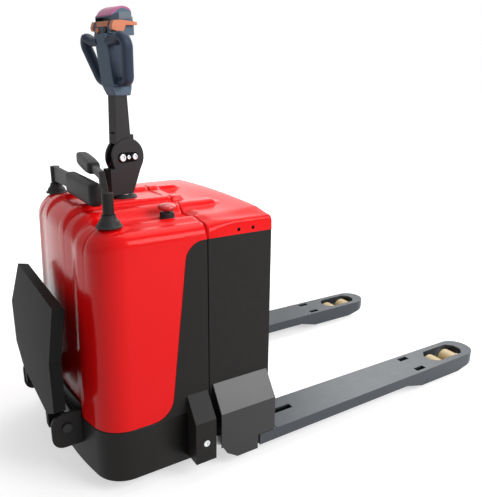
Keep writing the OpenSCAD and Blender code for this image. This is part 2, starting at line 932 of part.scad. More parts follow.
// Leans the bows towards the operator as they rise
module bow_frame() {
    mid = (bow_x0 + bow_x1) / 2;
    translate([mid, 0, bow_lean_z]) rotate([0, -bow_lean, 0]) translate([-mid, 0, -bow_lean_z]) children();
}

module tiller_head() paint(slate) head_frame() difference() {
    union() {
        across(-clamp_half, clamp_half) polygon([[-27, 0], [28, 0], [34, clamp_h], [-42, clamp_h]]);
        across(-spine_half, spine_half)
            polygon([[spine_low_front, clamp_h], [spine_rear, clamp_h], [spine_rear, cap_low], [spine_top_front, cap_low]]);
        across(-cap_half, cap_half) polygon(concat(
            [[cap_x0, cap_low]],
            arc([cap_x0 + cap_edge_r, cap_front_h - cap_edge_r], cap_edge_r, 180, 90, 5),
            arc([cap_x1 - cap_edge_r, head_h - cap_edge_r], cap_edge_r, 90, 0, 5),
            [[cap_x1, cap_low]]
        ));
    }
    bar_y(wing_x, wing_z, wing_shaft_r + run_fit, -cap_half - eps, cap_half + eps);
    for (s = [-1, 1]) translate([cap_x0 - eps, s * button_y, button_z]) rotate([0, 90, 0])
        cylinder(r = button_r + run_fit, h = button_depth + eps);
    block([belly_x0, -belly_y, belly_well], [belly_x1, belly_y, 2 * head_h]);
}

module handle_bows() paint(rubber) head_frame() both_sides() bow_frame() lengthwise(bow_x0, bow_x1) difference() {
    bow_outline(false);
    bow_outline(true);
}

module belly_button() paint(magenta) head_frame() {
    block([belly_x0 + pass_gap, -belly_y + pass_gap, belly_well + belly_travel + pass_gap],
        [belly_x1 - pass_gap, belly_y - pass_gap, head_h + 10]);
    across(-belly_half, belly_half) polygon(concat(belly_low, belly_top));
}

module thumb_control() paint(orange) head_frame() {
    bar_y(wing_x, wing_z, wing_shaft_r, -cap_half - wing_t / 2, cap_half + wing_t / 2);
    both_sides() across(cap_half + 2, cap_half + 2 + wing_t) polygon(wing_side);
}

// A push button on the rider's side of the cap
module push_button(s) {
    head_frame() translate([cap_x0 - button_proud, s * button_y, button_z]) rotate([0, 90, 0])
        cylinder(r = button_r, h = button_depth);
}

module lift_button() paint(orange) push_button(1);
module lower_button() paint(black) push_button(-1);

// Fork carriage

cover_hinge_x = 9;
knuckle_y = 200;
cover_hinge_z = panel_top + 2;
cover_pin_r = 4;
cover_barrel_r = 8;
knuckle_w = 40;
knuckle_gap = 1;
knuckle_leaf = 22;
mid_knuckle_y = knuckle_y + knuckle_w + knuckle_gap;
far_knuckle_y = mid_knuckle_y + knuckle_w + knuckle_gap;
cover_gap = 0.3;
bearing_y0 = fork_y - 34;
bearing_y1 = fork_y - 18;
bearing_r = tube_r + 10;
cover_seat = panel_top + cover_gap;
cover_edge_r = 28;
cover_hole_r = 3.5;
cover_hole_rise = 9;
cover_holes = [-121, -70];
battery_play = 4;
battery_side_play = 6;
battery_drop = 60;
terminal_y = 120;
terminal_r = 14;
terminal_h = 20;

module fork_carriage() paint(black) difference() {
    union() {
        difference() {
            block([box_face, -body_half, seat_z], [0, body_half, panel_top]);
            block([box_face + box_wall, -body_half + box_wall, box_floor_top],
                [-box_wall, body_half - box_wall, panel_top + eps]);
        }
        both_sides() {
            block([cylinder_x - cylinder_r, cylinder_y - head_bracket_half, head_bracket_z],
                [box_face, cylinder_y + head_bracket_half, head_bracket_z + head_bracket_t]);
            across(bearing_y0, bearing_y1) {
                translate([rocker_x, rocker_z]) circle(bearing_r);
                translate([rocker_x - bearing_r, rocker_z]) square([2 * bearing_r, seat_z - rocker_z]);
            }
            for (y = [knuckle_y, far_knuckle_y]) {
                bar_y(cover_hinge_x, cover_hinge_z, cover_barrel_r, y, y + knuckle_w);
                block([-box_wall, y, cover_hinge_z - knuckle_leaf],
                    [cover_hinge_x, y + knuckle_w, panel_top]);
            }
            bar_y(cover_hinge_x, cover_hinge_z, cover_pin_r, knuckle_y, far_knuckle_y + knuckle_w);
        }
    }
    both_sides() bar_y(rocker_x, rocker_z, tube_r + run_fit, bearing_y0 - eps, bearing_y1 + eps);
}

module battery() paint(gunmetal) {
    side = body_half - box_wall - battery_side_play;
    top = panel_top - battery_drop;
    block([box_face + box_wall + battery_play, -side, box_floor_top], [-box_wall - battery_play, side, top]);
    for (s = [-1, 1]) bar_z(box_front / 2, s * terminal_y, terminal_r, top, top + terminal_h);
}

module cover_solid(i) {
    intersection() {
        block([box_front + i, -body_half + i, 0], [-i, body_half - i, 2 * hood_z]);
        lengthwise(box_front, 0) hood_section(i);
        across(-body_half, body_half) polygon(concat(
            [[box_front, 0], [box_front, hood_z + 2 * ridge_rise]],
            arc([-cover_edge_r, hood_z + ridge_rise - cover_edge_r], cover_edge_r - i, 90, 0, 5), [[-i, 0]]
        ));
    }
}

module battery_cover() paint(red) difference() {
    union() {
        difference() {
            cover_solid(0);
            cover_solid(shell_t);
            block([-box_len - eps, -body_half - eps, -eps], [eps, body_half + eps, cover_seat]);
        }
        both_sides() {
            bar_y(cover_hinge_x, cover_hinge_z, cover_barrel_r, mid_knuckle_y, mid_knuckle_y + knuckle_w);
            block([-shell_t, mid_knuckle_y, cover_hinge_z + 2],
                [cover_hinge_x, mid_knuckle_y + knuckle_w, cover_hinge_z + cover_barrel_r]);
        }
    }
    both_sides()
        bar_y(cover_hinge_x, cover_hinge_z, cover_pin_r + run_fit, knuckle_y, far_knuckle_y + knuckle_w);
    both_sides() for (y = [knuckle_y, far_knuckle_y])
        bar_y(cover_hinge_x, cover_hinge_z, cover_barrel_r + 1, y - knuckle_gap, y + knuckle_w + knuckle_gap);
    for (x = cover_holes) bar_y(x, panel_top + cover_hole_rise, cover_hole_r, -body_w, body_w);
}

module lift_rods() paint(steel) both_sides()
    bar_z(cylinder_x, cylinder_y, lift_rod_r, deck_z + 40, head_bracket_z);

// The tab of a fork cover hides the rocker's lever and hub
tab_rear = rocker_x + 43;
tab_low = 36;
tab_root = seat_z + 12;

// Outer covers beside the battery box
module fork_covers() paint(black) both_sides() {
    difference() {
        lengthwise(cover_x0, cover_x1) side_box_section(seat_z, cover_kink, cover_high);
        lengthwise(cover_x0 - eps, cover_x1 - shell_t)
            side_box_section(seat_z, cover_kink, cover_high, shell_t);
    }
    across(side_box_y - shell_t, side_box_y) polygon([
        [cover_x0, tab_root], [cover_x0 + 22, tab_low + 26], [cover_x0 + 60, tab_low],
        [tab_rear, tab_low], [tab_rear, tab_root]
    ]);
}

// Forks: their sides are deeper beside the rollers
fork_root_x = -68;
tip_r = fork_tip_w / 2;
fork_side_low = 48;
fork_deep_low = 24;
fork_toe_low = 44;
fork_tip_low = 62;
deep_front = arm_pivot_x - 22;
deep_rear = bogie_x + 29;
deep_slope = 90;
solid_tip = 22;
opening_cut = 26;
opening_play = 10;
pivot_slot = [50, 22];
pivot_slot_x = arm_pivot_x - 41;
pivot_slot_y = 46;
root_slot = [117, 25];
root_slot_at = [5, -22];

// Plan of a fork about its own middle line, inset by i
module fork_plan(i, x0, x1) {
    h0 = fork_root_w / 2 - i;
    h1 = fork_tip_w / 2 - i;
    polygon(concat(
        [[x0, -h0], [x1 - tip_r, -h1]], arc([x1 - tip_r, 0], h1, -90, 90, 12), [[x0, h0]]
    ));
}

// Opening over the rollers, with cut corners
module roller_opening() {
    c = opening_cut;
    reach = (roller_pitch + roller_d) / 2;
    x0 = bogie_x - reach - 6;
    x1 = bogie_x + reach + 7;
    h = roller_w / 2 + opening_play;
    polygon([
        [x0 + c, -h], [x1 - c, -h], [x1, -h + c], [x1, h - c],
        [x1 - c, h], [x0 + c, h], [x0, h - c], [x0, -h + c]
    ]);
}

module fork() {
    translate([0, fork_y, 0]) difference() {
        intersection() {
            difference() {
                linear_extrude(fork_top) fork_plan(0, fork_root_x, fork_len);
                translate([0, 0, -eps]) linear_extrude(fork_top - fork_t + eps)
                    fork_plan(fork_t, fork_root_x - eps, fork_len - solid_tip);
            }
            across(-fork_root_w, fork_root_w) polygon([
                [fork_root_x, fork_side_low], [deep_front - deep_slope, fork_side_low],
                [deep_front, fork_deep_low], [deep_rear, fork_deep_low],
                [deep_rear + deep_slope, fork_toe_low], [fork_len, fork_tip_low],
                [fork_len, fork_top], [seat_end, fork_top], [seat_end, seat_z], [fork_root_x, seat_z]
            ]);
        }
        translate([0, 0, -eps]) linear_extrude(fork_top + 2 * eps) roller_opening();
        translate([0, 0, fork_top - fork_t - eps]) linear_extrude(fork_t + 2 * eps) {
            for (s = [-1, 1])
                translate([pivot_slot_x, s * pivot_slot_y - pivot_slot[1] / 2]) square(pivot_slot);
            translate(root_slot_at) square(root_slot);
        }
        bar_y(arm_pivot_x, arm_pivot_z, arm_pin_r + run_fit, -fork_root_w, fork_root_w);
    }
}

module left_fork() paint(gunmetal) fork();
module right_fork() paint(gunmetal) mirror([0, 1, 0]) fork();

// Lift linkage, at rest with the forks down

lever_rest = [-cos(lever_turn / 2), sin(lever_turn / 2)];
crank_rest = [-sin(lever_turn / 2), -cos(lever_turn / 2)];
rocker_at = [rocker_x, rocker_z];
crank_end = rocker_at + crank_len * crank_rest;
lever_end = lever_far + link_pin_r + 2;
slot_r = link_pin_r + 1.5;

module lift_rocker() paint(zinc) {
    bar_y(rocker_x, rocker_z, tube_r, -lever_y - lever_t / 2 - 3, lever_y + lever_t / 2 + 3);
    both_sides() {
        difference() {
            link(rocker_at, rocker_at + (lever_end - 6) * lever_rest, lever_half,
                lever_y - lever_t / 2, lever_y + lever_t / 2);
            link(rocker_at + (lever_run - 2) * lever_rest, rocker_at + (lever_far + 1) * lever_rest, slot_r,
                lever_y - lever_t, lever_y + lever_t);
        }
        link(rocker_at, crank_end, 9, fork_y - 6, fork_y + 6);
        bar_y(crank_end[0], crank_end[1], rod_pin_r, fork_y - 15, fork_y + 15);
    }
}

lever_top = [arm_pivot_x - arm_lever * sin(arm_turn / 2), arm_pivot_z + arm_lever * cos(arm_turn / 2)];
rod_half_h = 6;
rod_eye_r = 8;
rod_fit = 0.3;
pin_rise = 3;
rod_plate_y0 = fork_y + 7;
rod_plate_y1 = fork_y + 13;

// Upright slot for a rod pin: snug lengthwise, free in height
module rod_slot(p, rise) {
    link(p, p + [0, rise], rod_pin_r + rod_fit, rod_plate_y0 - eps, rod_plate_y1 + eps);
}

module push_rods() paint(zinc) both_sides() difference() {
    union() {
        link(crank_end, lever_top, rod_half_h, rod_plate_y0, rod_plate_y1);
        link(crank_end - [0, pin_rise], crank_end, rod_eye_r, rod_plate_y0, rod_plate_y1);
        link(lever_top, lever_top + [0, pin_rise], rod_eye_r, rod_plate_y0, rod_plate_y1);
    }
    rod_slot(crank_end, -pin_rise);
    rod_slot(lever_top, pin_rise);
}

bogie_plate_y0 = roller_w / 2 + 1;
bogie_plate_y1 = bogie_plate_y0 + bogie_plate_t;
arm_plate_y0 = bogie_plate_y1 + 1;
arm_plate_y1 = arm_plate_y0 + 7;
arm_pin_half = fork_tip_w / 2 + 1;

module wheel_arms() paint(zinc) both_sides() translate([0, fork_y, 0]) {
    bar_y(arm_pivot_x, arm_pivot_z, arm_pin_r, -arm_pin_half, arm_pin_half);
    link([arm_pivot_x, arm_pivot_z], lever_top, 8, -6, 6);
    bar_y(lever_top[0], lever_top[1], rod_pin_r, -9, 15);
    both_sides() {
        link([arm_pivot_x, arm_pivot_z], [bogie_x, roller_r], 15, arm_plate_y0, arm_plate_y1);
        bar_y(bogie_x, roller_r, bogie_pin_r, bogie_plate_y0, arm_plate_y1 + 2);
    }
}

front_axle_x = bogie_x + roller_pitch / 2;
rear_axle_x = bogie_x - roller_pitch / 2;

module bogies() paint(zinc) both_sides() translate([0, fork_y, 0]) {
    both_sides() difference() {
        link([rear_axle_x, roller_r], [front_axle_x, roller_r], 16, bogie_plate_y0, bogie_plate_y1);
        bar_y(bogie_x, roller_r, bogie_pin_r + run_fit, 0, body_w);
    }
    for (x = [rear_axle_x, front_axle_x]) bar_y(x, roller_r, roller_pin_r, -bogie_plate_y1, bogie_plate_y1);
}

module load_roller(x) {
    translate([x, fork_y, roller_r]) rotate([90, 0, 0]) rotate_extrude() polygon(concat(
        [[roller_pin_r + run_fit, -roller_w / 2]], arc([roller_r - 5, -roller_w / 2 + 5], 5, -90, 0, 4),
        arc([roller_r - 5, roller_w / 2 - 5], 5, 0, 90, 4), [[roller_pin_r + run_fit, roller_w / 2]]
    ));
}

module front_roller_left() paint(cream) load_roller(front_axle_x);
module front_roller_right() paint(cream) mirror([0, 1, 0]) load_roller(front_axle_x);
module rear_roller_left() paint(cream) load_roller(rear_axle_x);
module rear_roller_right() paint(cream) mirror([0, 1, 0]) load_roller(rear_axle_x);

// Castors

castor_r = castor_d / 2;
castor_axle_x = castor_x + castor_trail;
yoke_y0 = castor_w / 2 + 2;
yoke_y1 = yoke_y0 + 6;
yoke_top = castor_post_low - pass_gap;
yoke_pin_r = 8;

module castor_yoke() {
    translate([0, castor_y, 0]) {
        bar_z(castor_x, 0, kingpin_r, yoke_top - 8, castor_post_low + kingpin_len);
        bar_z(castor_x, 0, yoke_y1 + 8, yoke_top - 8, yoke_top);
        bar_y(castor_axle_x, castor_r, yoke_pin_r, -yoke_y1, yoke_y1);
        both_sides() across(yoke_y0, yoke_y1) {
            translate([castor_axle_x, castor_r]) circle(16);
            polygon([[castor_axle_x - 14, castor_r - 8], [castor_axle_x + 16, castor_r],
                [castor_x + 30, yoke_top], [castor_x - 30, yoke_top]]);
        }
    }
}

module castor_yoke_left() paint(zinc) castor_yoke();
module castor_yoke_right() paint(zinc) mirror([0, 1, 0]) castor_yoke();

module castor_wheel() {
    translate([castor_axle_x, castor_y, castor_r]) rotate([90, 0, 0]) rotate_extrude() polygon(concat(
        [[yoke_pin_r + run_fit, -castor_w / 2]], arc([castor_r - 6, -castor_w / 2 + 6], 6, -90, 0, 4),
        arc([castor_r - 6, castor_w / 2 - 6], 6, 0, 90, 4), [[yoke_pin_r + run_fit, castor_w / 2]]
    ));
}

module castor_wheel_left() paint(rubber) castor_wheel();
module castor_wheel_right() paint(rubber) mirror([0, 1, 0]) castor_wheel();

chassis_plate();
chassis_frame();
chassis_uprights();
base_skirt();
cowl_hood();
cowl_front();
side_panels();
link_housings();
link_pivot_bolts();
stop_switch_base();
stop_knob();
platform_bracket();
platform_hinge_pin();
platform_tray();
platform_mat();
arm_posts();
arm_boots();
side_arm_right();
side_arm_left();
arm_pad_right();
arm_pad_left();
hydraulic_tank();
pump_motor();
lift_cylinders();
motor_controller();
steer_bearing();
drive_gearbox();
traction_motor();
motor_brake();
steer_column();
drive_wheel_hub();
drive_wheel_tyre();
tiller_base();
tiller_pivot_bolts();
tiller_arm();
tiller_head();
handle_bows();
belly_button();
thumb_control();
lift_button();
lower_button();
fork_carriage();
battery();
battery_cover();
lift_rods();
fork_covers();
right_fork();
left_fork();
lift_rocker();
push_rods();
wheel_arms();
bogies();
front_roller_right();
front_roller_left();
rear_roller_right();
rear_roller_left();
castor_yoke_right();
castor_yoke_left();
castor_wheel_right();
castor_wheel_left();
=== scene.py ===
"""Dresses the electric pallet truck: shells, handle, pads, platform, wheels, finishes and stage.

Shapes are written in millimetres in the truck's own frame, where x = 0 is the rear face of the
battery box, and at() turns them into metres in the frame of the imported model.
"""

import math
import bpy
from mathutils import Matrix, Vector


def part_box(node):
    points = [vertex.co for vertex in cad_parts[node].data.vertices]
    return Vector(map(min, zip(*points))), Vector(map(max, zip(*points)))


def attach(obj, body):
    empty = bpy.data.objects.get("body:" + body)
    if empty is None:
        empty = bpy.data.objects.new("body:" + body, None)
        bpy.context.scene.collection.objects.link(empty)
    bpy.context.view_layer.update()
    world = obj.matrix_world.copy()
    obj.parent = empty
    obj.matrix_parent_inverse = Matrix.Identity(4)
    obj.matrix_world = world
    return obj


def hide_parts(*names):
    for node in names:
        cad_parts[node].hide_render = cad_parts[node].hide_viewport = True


bl_info = {
    "name": "Electric pallet truck",
    "version": (1, 0, 0),
    "blender": (4, 5, 0),
    "location": "View3D > Sidebar > Pallet truck",
    "description": "Models and finishes an electric rider pallet truck",
    "category": "Object",
}

import bmesh
import bpy
from mathutils import Matrix, Vector

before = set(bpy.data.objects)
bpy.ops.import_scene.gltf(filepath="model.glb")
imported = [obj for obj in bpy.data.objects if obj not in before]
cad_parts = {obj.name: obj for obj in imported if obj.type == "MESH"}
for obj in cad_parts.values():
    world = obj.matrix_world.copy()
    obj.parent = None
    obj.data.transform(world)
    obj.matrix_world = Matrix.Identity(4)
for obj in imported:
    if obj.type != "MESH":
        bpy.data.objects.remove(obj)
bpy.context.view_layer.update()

MM = 0.001
UP = (0, 0, 1)
SIDES = ((-1, "right"), (1, "left"))
# Edges that turn by more than this many degrees count as sharp
SHARP = 25
# Seam between the cowl and the battery cover, and in metres where x = 0 lies in the model's frame
COWL_REAR = -230
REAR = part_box("cowl_hood")[1][0] - COWL_REAR * MM
# Half width of the body, front of the cowl, lower edge of the cowl and top of the black box
BODY_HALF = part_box("cowl_hood")[1][1] / MM
COWL_FRONT = (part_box("cowl_front")[0][0] - REAR) / MM
SKIRT_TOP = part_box("cowl_front")[0][2] / MM
COVER_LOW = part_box("side_panels")[1][2] / MM
# Upright plan of the cowl: radius of its bowed front and of its corners, and their middles
BOW_R = 1260
CORNER_R = 100
BOW_X = COWL_FRONT + BOW_R
CORNER_Y = BODY_HALF - CORNER_R
CORNER_X = BOW_X - math.sqrt((BOW_R - CORNER_R) ** 2 - CORNER_Y**2)
# Middle of a fork, post of a side arm and emergency stop in X and Y
FORK_Y = 347.5
POST = (-495, 285)
STOP = (-295, -230)
# Steering axis and its turn at rest, bolts of the tiller's tilt and lower end of the handle head
STEER_X = -345
STEER_REST = math.radians(15)
TILT = (10, 984)
HEAD_Z = 1178


# Properties


class TruckSizes(bpy.types.PropertyGroup):
    """Sizes of the shells and of the handle"""

    edge: bpy.props.FloatProperty(
        name="Edge", description="Width of a pressed sheet edge's round",
        default=0.003, min=0.0005, max=0.008, unit="LENGTH")
    hood_z: bpy.props.FloatProperty(
        name="Hood", description="Height of the hood's flat middle",
        default=0.852, min=0.840, max=0.860, unit="LENGTH")
    ridge: bpy.props.FloatProperty(
        name="Ridge", description="Rise of the hood's long ridges",
        default=0.010, min=0.0, max=0.014, unit="LENGTH")
    pocket: bpy.props.FloatProperty(
        name="Pocket", description="Depth of the pockets beside the ridges",
        default=0.030, min=0.0, max=0.040, unit="LENGTH")
    front_dish: bpy.props.FloatProperty(
        name="Front dish", description="Depth of the dished front panel",
        default=0.011, min=0.0, max=0.020, unit="LENGTH")
    grip_r: bpy.props.FloatProperty(
        name="Grip", description="Half thickness of the handle bows",
        default=0.012, min=0.009, max=0.014, unit="LENGTH")


class TruckColours(bpy.types.PropertyGroup):
    """Colours of the finishes"""

    red: bpy.props.FloatVectorProperty(
        name="Red paint", description="Gloss paint of the cowl and cover",
        subtype="COLOR", size=3, default=(0.78, 0.005, 0.006))
    black: bpy.props.FloatVectorProperty(
        name="Black panel", description="Satin paint of panels, skirt and boxes",
        subtype="COLOR", size=3, default=(0.013, 0.012, 0.0115))
    fork: bpy.props.FloatVectorProperty(
        name="Fork paint", description="Dark paint of the forks",
        subtype="COLOR", size=3, default=(0.030, 0.037, 0.046))
    head: bpy.props.FloatVectorProperty(
        name="Handle", description="Plastic of the handle head",
        subtype="COLOR", size=3, default=(0.095, 0.140, 0.190))
    orange: bpy.props.FloatVectorProperty(
        name="Control", description="Plastic of the thumb control",
        subtype="COLOR", size=3, default=(0.56, 0.15, 0.05))
    belly: bpy.props.FloatVectorProperty(
        name="Belly button", description="Plastic of the belly button",
        subtype="COLOR", size=3, default=(0.40, 0.050, 0.190))
    cream: bpy.props.FloatVectorProperty(
        name="Roller", description="Polyurethane of the load rollers",
        subtype="COLOR", size=3, default=(0.46, 0.34, 0.17))


class StageSettings(bpy.types.PropertyGroup):
    """Light and camera"""

    key_power: bpy.props.FloatProperty(
        name="Key light", description="Power of the large side light in watts",
        default=132.0, min=0.0, max=400.0, unit="POWER")
    sky: bpy.props.FloatProperty(
        name="Room light", description="Strength of the light from all around",
        default=0.36, min=0.0, max=1.0)
    lens: bpy.props.FloatProperty(
        name="Lens", description="Focal length of the camera in millimetres",
        default=40.23, min=20.0, max=90.0, unit="CAMERA")


def size(name):
    """A size of the settings, in millimetres."""
    return round(getattr(bpy.context.scene.truck_sizes, name) / MM, 3)


# Places and outlines


def at(x, y, z):
    """A point of the truck's own frame, in metres in the model's frame."""
    return Vector((x * MM + REAR, y * MM, z * MM))


def steered(u, c, z):
    """A point of the steered drive unit: u to the rear and c to the left of the steering axis."""
    e, n = math.cos(STEER_REST), math.sin(STEER_REST)
    return at(STEER_X + u * e - c * n, u * n + c * e, z)


def steered_side(a, b, depth):
    """Outline in the drive unit's length and height, depth across it."""
    return steered(a, depth, b)


def steered_end(a, b, depth):
    """Outline across the drive unit and in height, depth along it."""
    return steered(depth, a, b)


def arc(cx, cy, r, a0, a1, n):
    """Points on an arc, from angle a0 to a1 in degrees."""
    turns = [math.radians(a0 + (a1 - a0) * i / n) for i in range(n + 1)]
    return [(cx + r * math.cos(t), cy + r * math.sin(t)) for t in turns]


def oblong(a0, a1, b0, b1):
    """Corners of an oblong outline."""
    return [(a0, b0), (a1, b0), (a1, b1), (a0, b1)]


def smooth_step(a, b, v):
    """0 before a, 1 after b, and a soft rise between."""
    t = min(1.0, max(0.0, (v - a) / (b - a)))
    return t * t * (3 - 2 * t)


def bump(centre, half, soft, v):
    """1 within half of the centre, 0 further than half + soft."""
    return 1 - smooth_step(half, half + soft, abs(v - centre))


# Mesh helpers


def prism(bm, points, place, low, high):
    """A closed prism of an outline: place(a, b, depth) gives each corner."""
    verts = [bm.verts.new(place(a, b, low)) for a, b in points]
    face = bm.faces.new(verts)
    made = bmesh.ops.extrude_face_region(bm, geom=[face])
    top = [v for v in made["geom"] if isinstance(v, bmesh.types.BMVert)]
    shift = Vector(place(0, 0, high)) - Vector(place(0, 0, low))
    bmesh.ops.translate(bm, verts=top, vec=shift)
    bmesh.ops.recalc_face_normals(bm, faces=bm.faces)
    return top


def side_on(a, b, depth):
    """Outline in X and Z, depth along Y."""
    return at(a, depth, b)


def flat_on(a, b, depth):
    """Outline in X and Y, depth along Z."""
    return at(a, b, depth)


def round_edges(bm, edges, width, segments):
    """Rounds the given edges by a width in millimetres."""
    bmesh.ops.bevel(bm, geom=edges, offset=width * MM, offset_type="OFFSET", segments=segments,
                    profile=0.5, affect="EDGES", clamp_overlap=True, material=-1)


def soften(bm, width, segments=3):
    """Rounds every sharp edge."""
    limit = math.radians(SHARP)
    edges = [e for e in bm.edges if len(e.link_faces) == 2 and e.calc_face_angle(0) > limit]
    round_edges(bm, edges, width, segments)


def lathe(bm, profile, centre, axis, steps=48):
    """Spins a profile of (radius, height) points about an axis through the centre."""
    axis = Vector(axis).normalized()
    side = axis.orthogonal().normalized()
    verts = [bm.verts.new(centre + side * (r * MM) + axis * (h * MM)) for r, h in profile]
    edges = [bm.edges.new((a, b)) for a, b in zip(verts, verts[1:])]
    bmesh.ops.spin(bm, geom=verts + edges, cent=centre, axis=axis, angle=2 * math.pi, steps=steps,
                   use_merge=True)
    bmesh.ops.remove_doubles(bm, verts=bm.verts, dist=1e-6)
    bmesh.ops.recalc_face_normals(bm, faces=bm.faces)


def loft(bm, rings):
    """A closed skin over rings of points, each ring with the same number of points."""
    loops = []
    for ring in rings:
        verts = [bm.verts.new(p) for p in ring]
        loops.append([bm.edges.new((a, b)) for a, b in zip(verts, verts[1:] + verts[:1])])
    for a, b in zip(loops, loops[1:]):
        bmesh.ops.bridge_loops(bm, edges=a + b)
    for ends in (loops[0], loops[-1]):
        bmesh.ops.contextual_create(bm, geom=ends)
    bmesh.ops.recalc_face_normals(bm, faces=bm.faces)


def bar(bm, path, flat, across, along, sides, power):
    """A bar along a path: across is its half width in the path's plane, along that on the flat axis.

    A power of 2 makes its section an ellipse, and a higher one squares it.
    """
    rings = []
    for i, point in enumerate(path):
        ahead = (path[min(i + 1, len(path) - 1)] - path[max(i - 1, 0)]).normalized()
        side = ahead.cross(flat).normalized()
        ring = []
        for k in range(sides):
            c = math.cos(2 * math.pi * k / sides)
            d = math.sin(2 * math.pi * k / sides)
            c = math.copysign(abs(c) ** (2 / power), c) * across[i] * MM
            d = math.copysign(abs(d) ** (2 / power), d) * along[i] * MM
            ring.append(point + side * c + flat * d)
        rings.append(ring)
    loft(bm, rings)


def node_copy(bm, node):
    """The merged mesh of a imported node, with its flat faces joined."""
    bm.from_mesh(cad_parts[node].data)
    bmesh.ops.remove_doubles(bm, verts=bm.verts, dist=2e-6)
    bmesh.ops.dissolve_limit(bm, angle_limit=math.radians(0.6), verts=bm.verts, edges=bm.edges)


def piece(bm, name, body, finish, replaces=(), angle=35, weighted=True):
    """Makes the object of a finished bmesh, gives it its finish and puts it on its body."""
    mesh = bpy.data.meshes.new(name)
    bm.to_mesh(mesh)
    bm.free()
    mesh.shade_smooth()
    mesh.set_sharp_from_angle(angle=math.radians(angle))
    obj = bpy.data.objects.new(name, mesh)
    bpy.context.collection.objects.link(obj)
    mesh.materials.append(material(finish))
    if weighted:
        obj.modifiers.new("even_shading", "WEIGHTED_NORMAL").keep_sharp = True
    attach(obj, body)
    if replaces:
        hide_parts(*replaces)
    return obj


def softened(node, body, finish, width, segments=3):
    """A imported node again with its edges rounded, in place of the node."""
    bm = bmesh.new()
    node_copy(bm, node)
    soften(bm, width, segments)
    return piece(bm, node + "_shell", body, finish, replaces=(node,))


def block(name, body, finish, outline, place, low, high, width, segments=3, replaces=()):
    """A prism with rounded edges, as a finished piece."""
    bm = bmesh.new()
    prism(bm, outline, place, low, high)
    soften(bm, width, segments)
    return piece(bm, name, body, finish, replaces)


def wall(obj, thickness):
    """Gives an open skin its thickness in millimetres, inwards."""
    made = obj.modifiers.new("wall", "SOLIDIFY")
    made.thickness = thickness * MM
    made.offset = -1


# Shared finishes


def socket(group, name, kind, way, default=None):
    """Adds a named input or output to a node group."""
    made = group.interface.new_socket(name=name, in_out=way, socket_type=kind)
    if default is not None:
        made.default_value = default


def new_node(tree, kind, **values):
    """A new node with its settings."""
    made = tree.nodes.new(kind)
    for key, value in values.items():
        setattr(made, key, value)
    return made


def put(node, values):
    """Sets inputs of a node that have no link."""
    for name, value in values.items():
        node.inputs[name].default_value = value


def grain_group():
    """Slow drift of colour and roughness, and fine grain as a height for bump."""
    known = bpy.data.node_groups.get("paint_grain")
    if known:
        return known
    group = bpy.data.node_groups.new("paint_grain", "ShaderNodeTree")
    socket(group, "Color", "NodeSocketColor", "INPUT", (0.5, 0.5, 0.5, 1))
    socket(group, "Drift", "NodeSocketFloat", "INPUT", 0.08)
    socket(group, "Grain Scale", "NodeSocketFloat", "INPUT", 300.0)
    socket(group, "Roughness", "NodeSocketFloat", "INPUT", 0.4)
    socket(group, "Roughness Drift", "NodeSocketFloat", "INPUT", 0.08)
    socket(group, "Color", "NodeSocketColor", "OUTPUT")
    socket(group, "Roughness", "NodeSocketFloat", "OUTPUT")
    socket(group, "Height", "NodeSocketFloat", "OUTPUT")
    enter = new_node(group, "NodeGroupInput")
    leave = new_node(group, "NodeGroupOutput")
    place = new_node(group, "ShaderNodeTexCoord")
    slow = new_node(group, "ShaderNodeTexNoise")
    put(slow, {"Scale": 7.0, "Detail": 5.0})
    fine = new_node(group, "ShaderNodeTexNoise")
    put(fine, {"Detail": 3.0})
    centre = new_node(group, "ShaderNodeMapRange")
    put(centre, {"To Min": -1.0})
    drift = new_node(group, "ShaderNodeMath", operation="MULTIPLY_ADD")
    drift.inputs[2].default_value = 1.0
    shade = new_node(group, "ShaderNodeVectorMath", operation="SCALE")
    rough = new_node(group, "ShaderNodeMath", operation="MULTIPLY_ADD", use_clamp=True)
    link = group.links.new
    link(place.outputs["Object"], slow.inputs["Vector"])
    link(place.outputs["Object"], fine.inputs["Vector"])
    link(enter.outputs["Grain Scale"], fine.inputs["Scale"])
    link(slow.outputs["Fac"], centre.inputs["Value"])
    link(centre.outputs["Result"], drift.inputs[0])
    link(enter.outputs["Drift"], drift.inputs[1])
    link(enter.outputs["Color"], shade.inputs[0])
    link(drift.outputs[0], shade.inputs["Scale"])
    link(centre.outputs["Result"], rough.inputs[0])
    link(enter.outputs["Roughness Drift"], rough.inputs[1])
    link(enter.outputs["Roughness"], rough.inputs[2])
    link(shade.outputs[0], leave.inputs["Color"])
    link(rough.outputs[0], leave.inputs["Roughness"])
    link(fine.outputs["Fac"], leave.inputs["Height"])
    return group


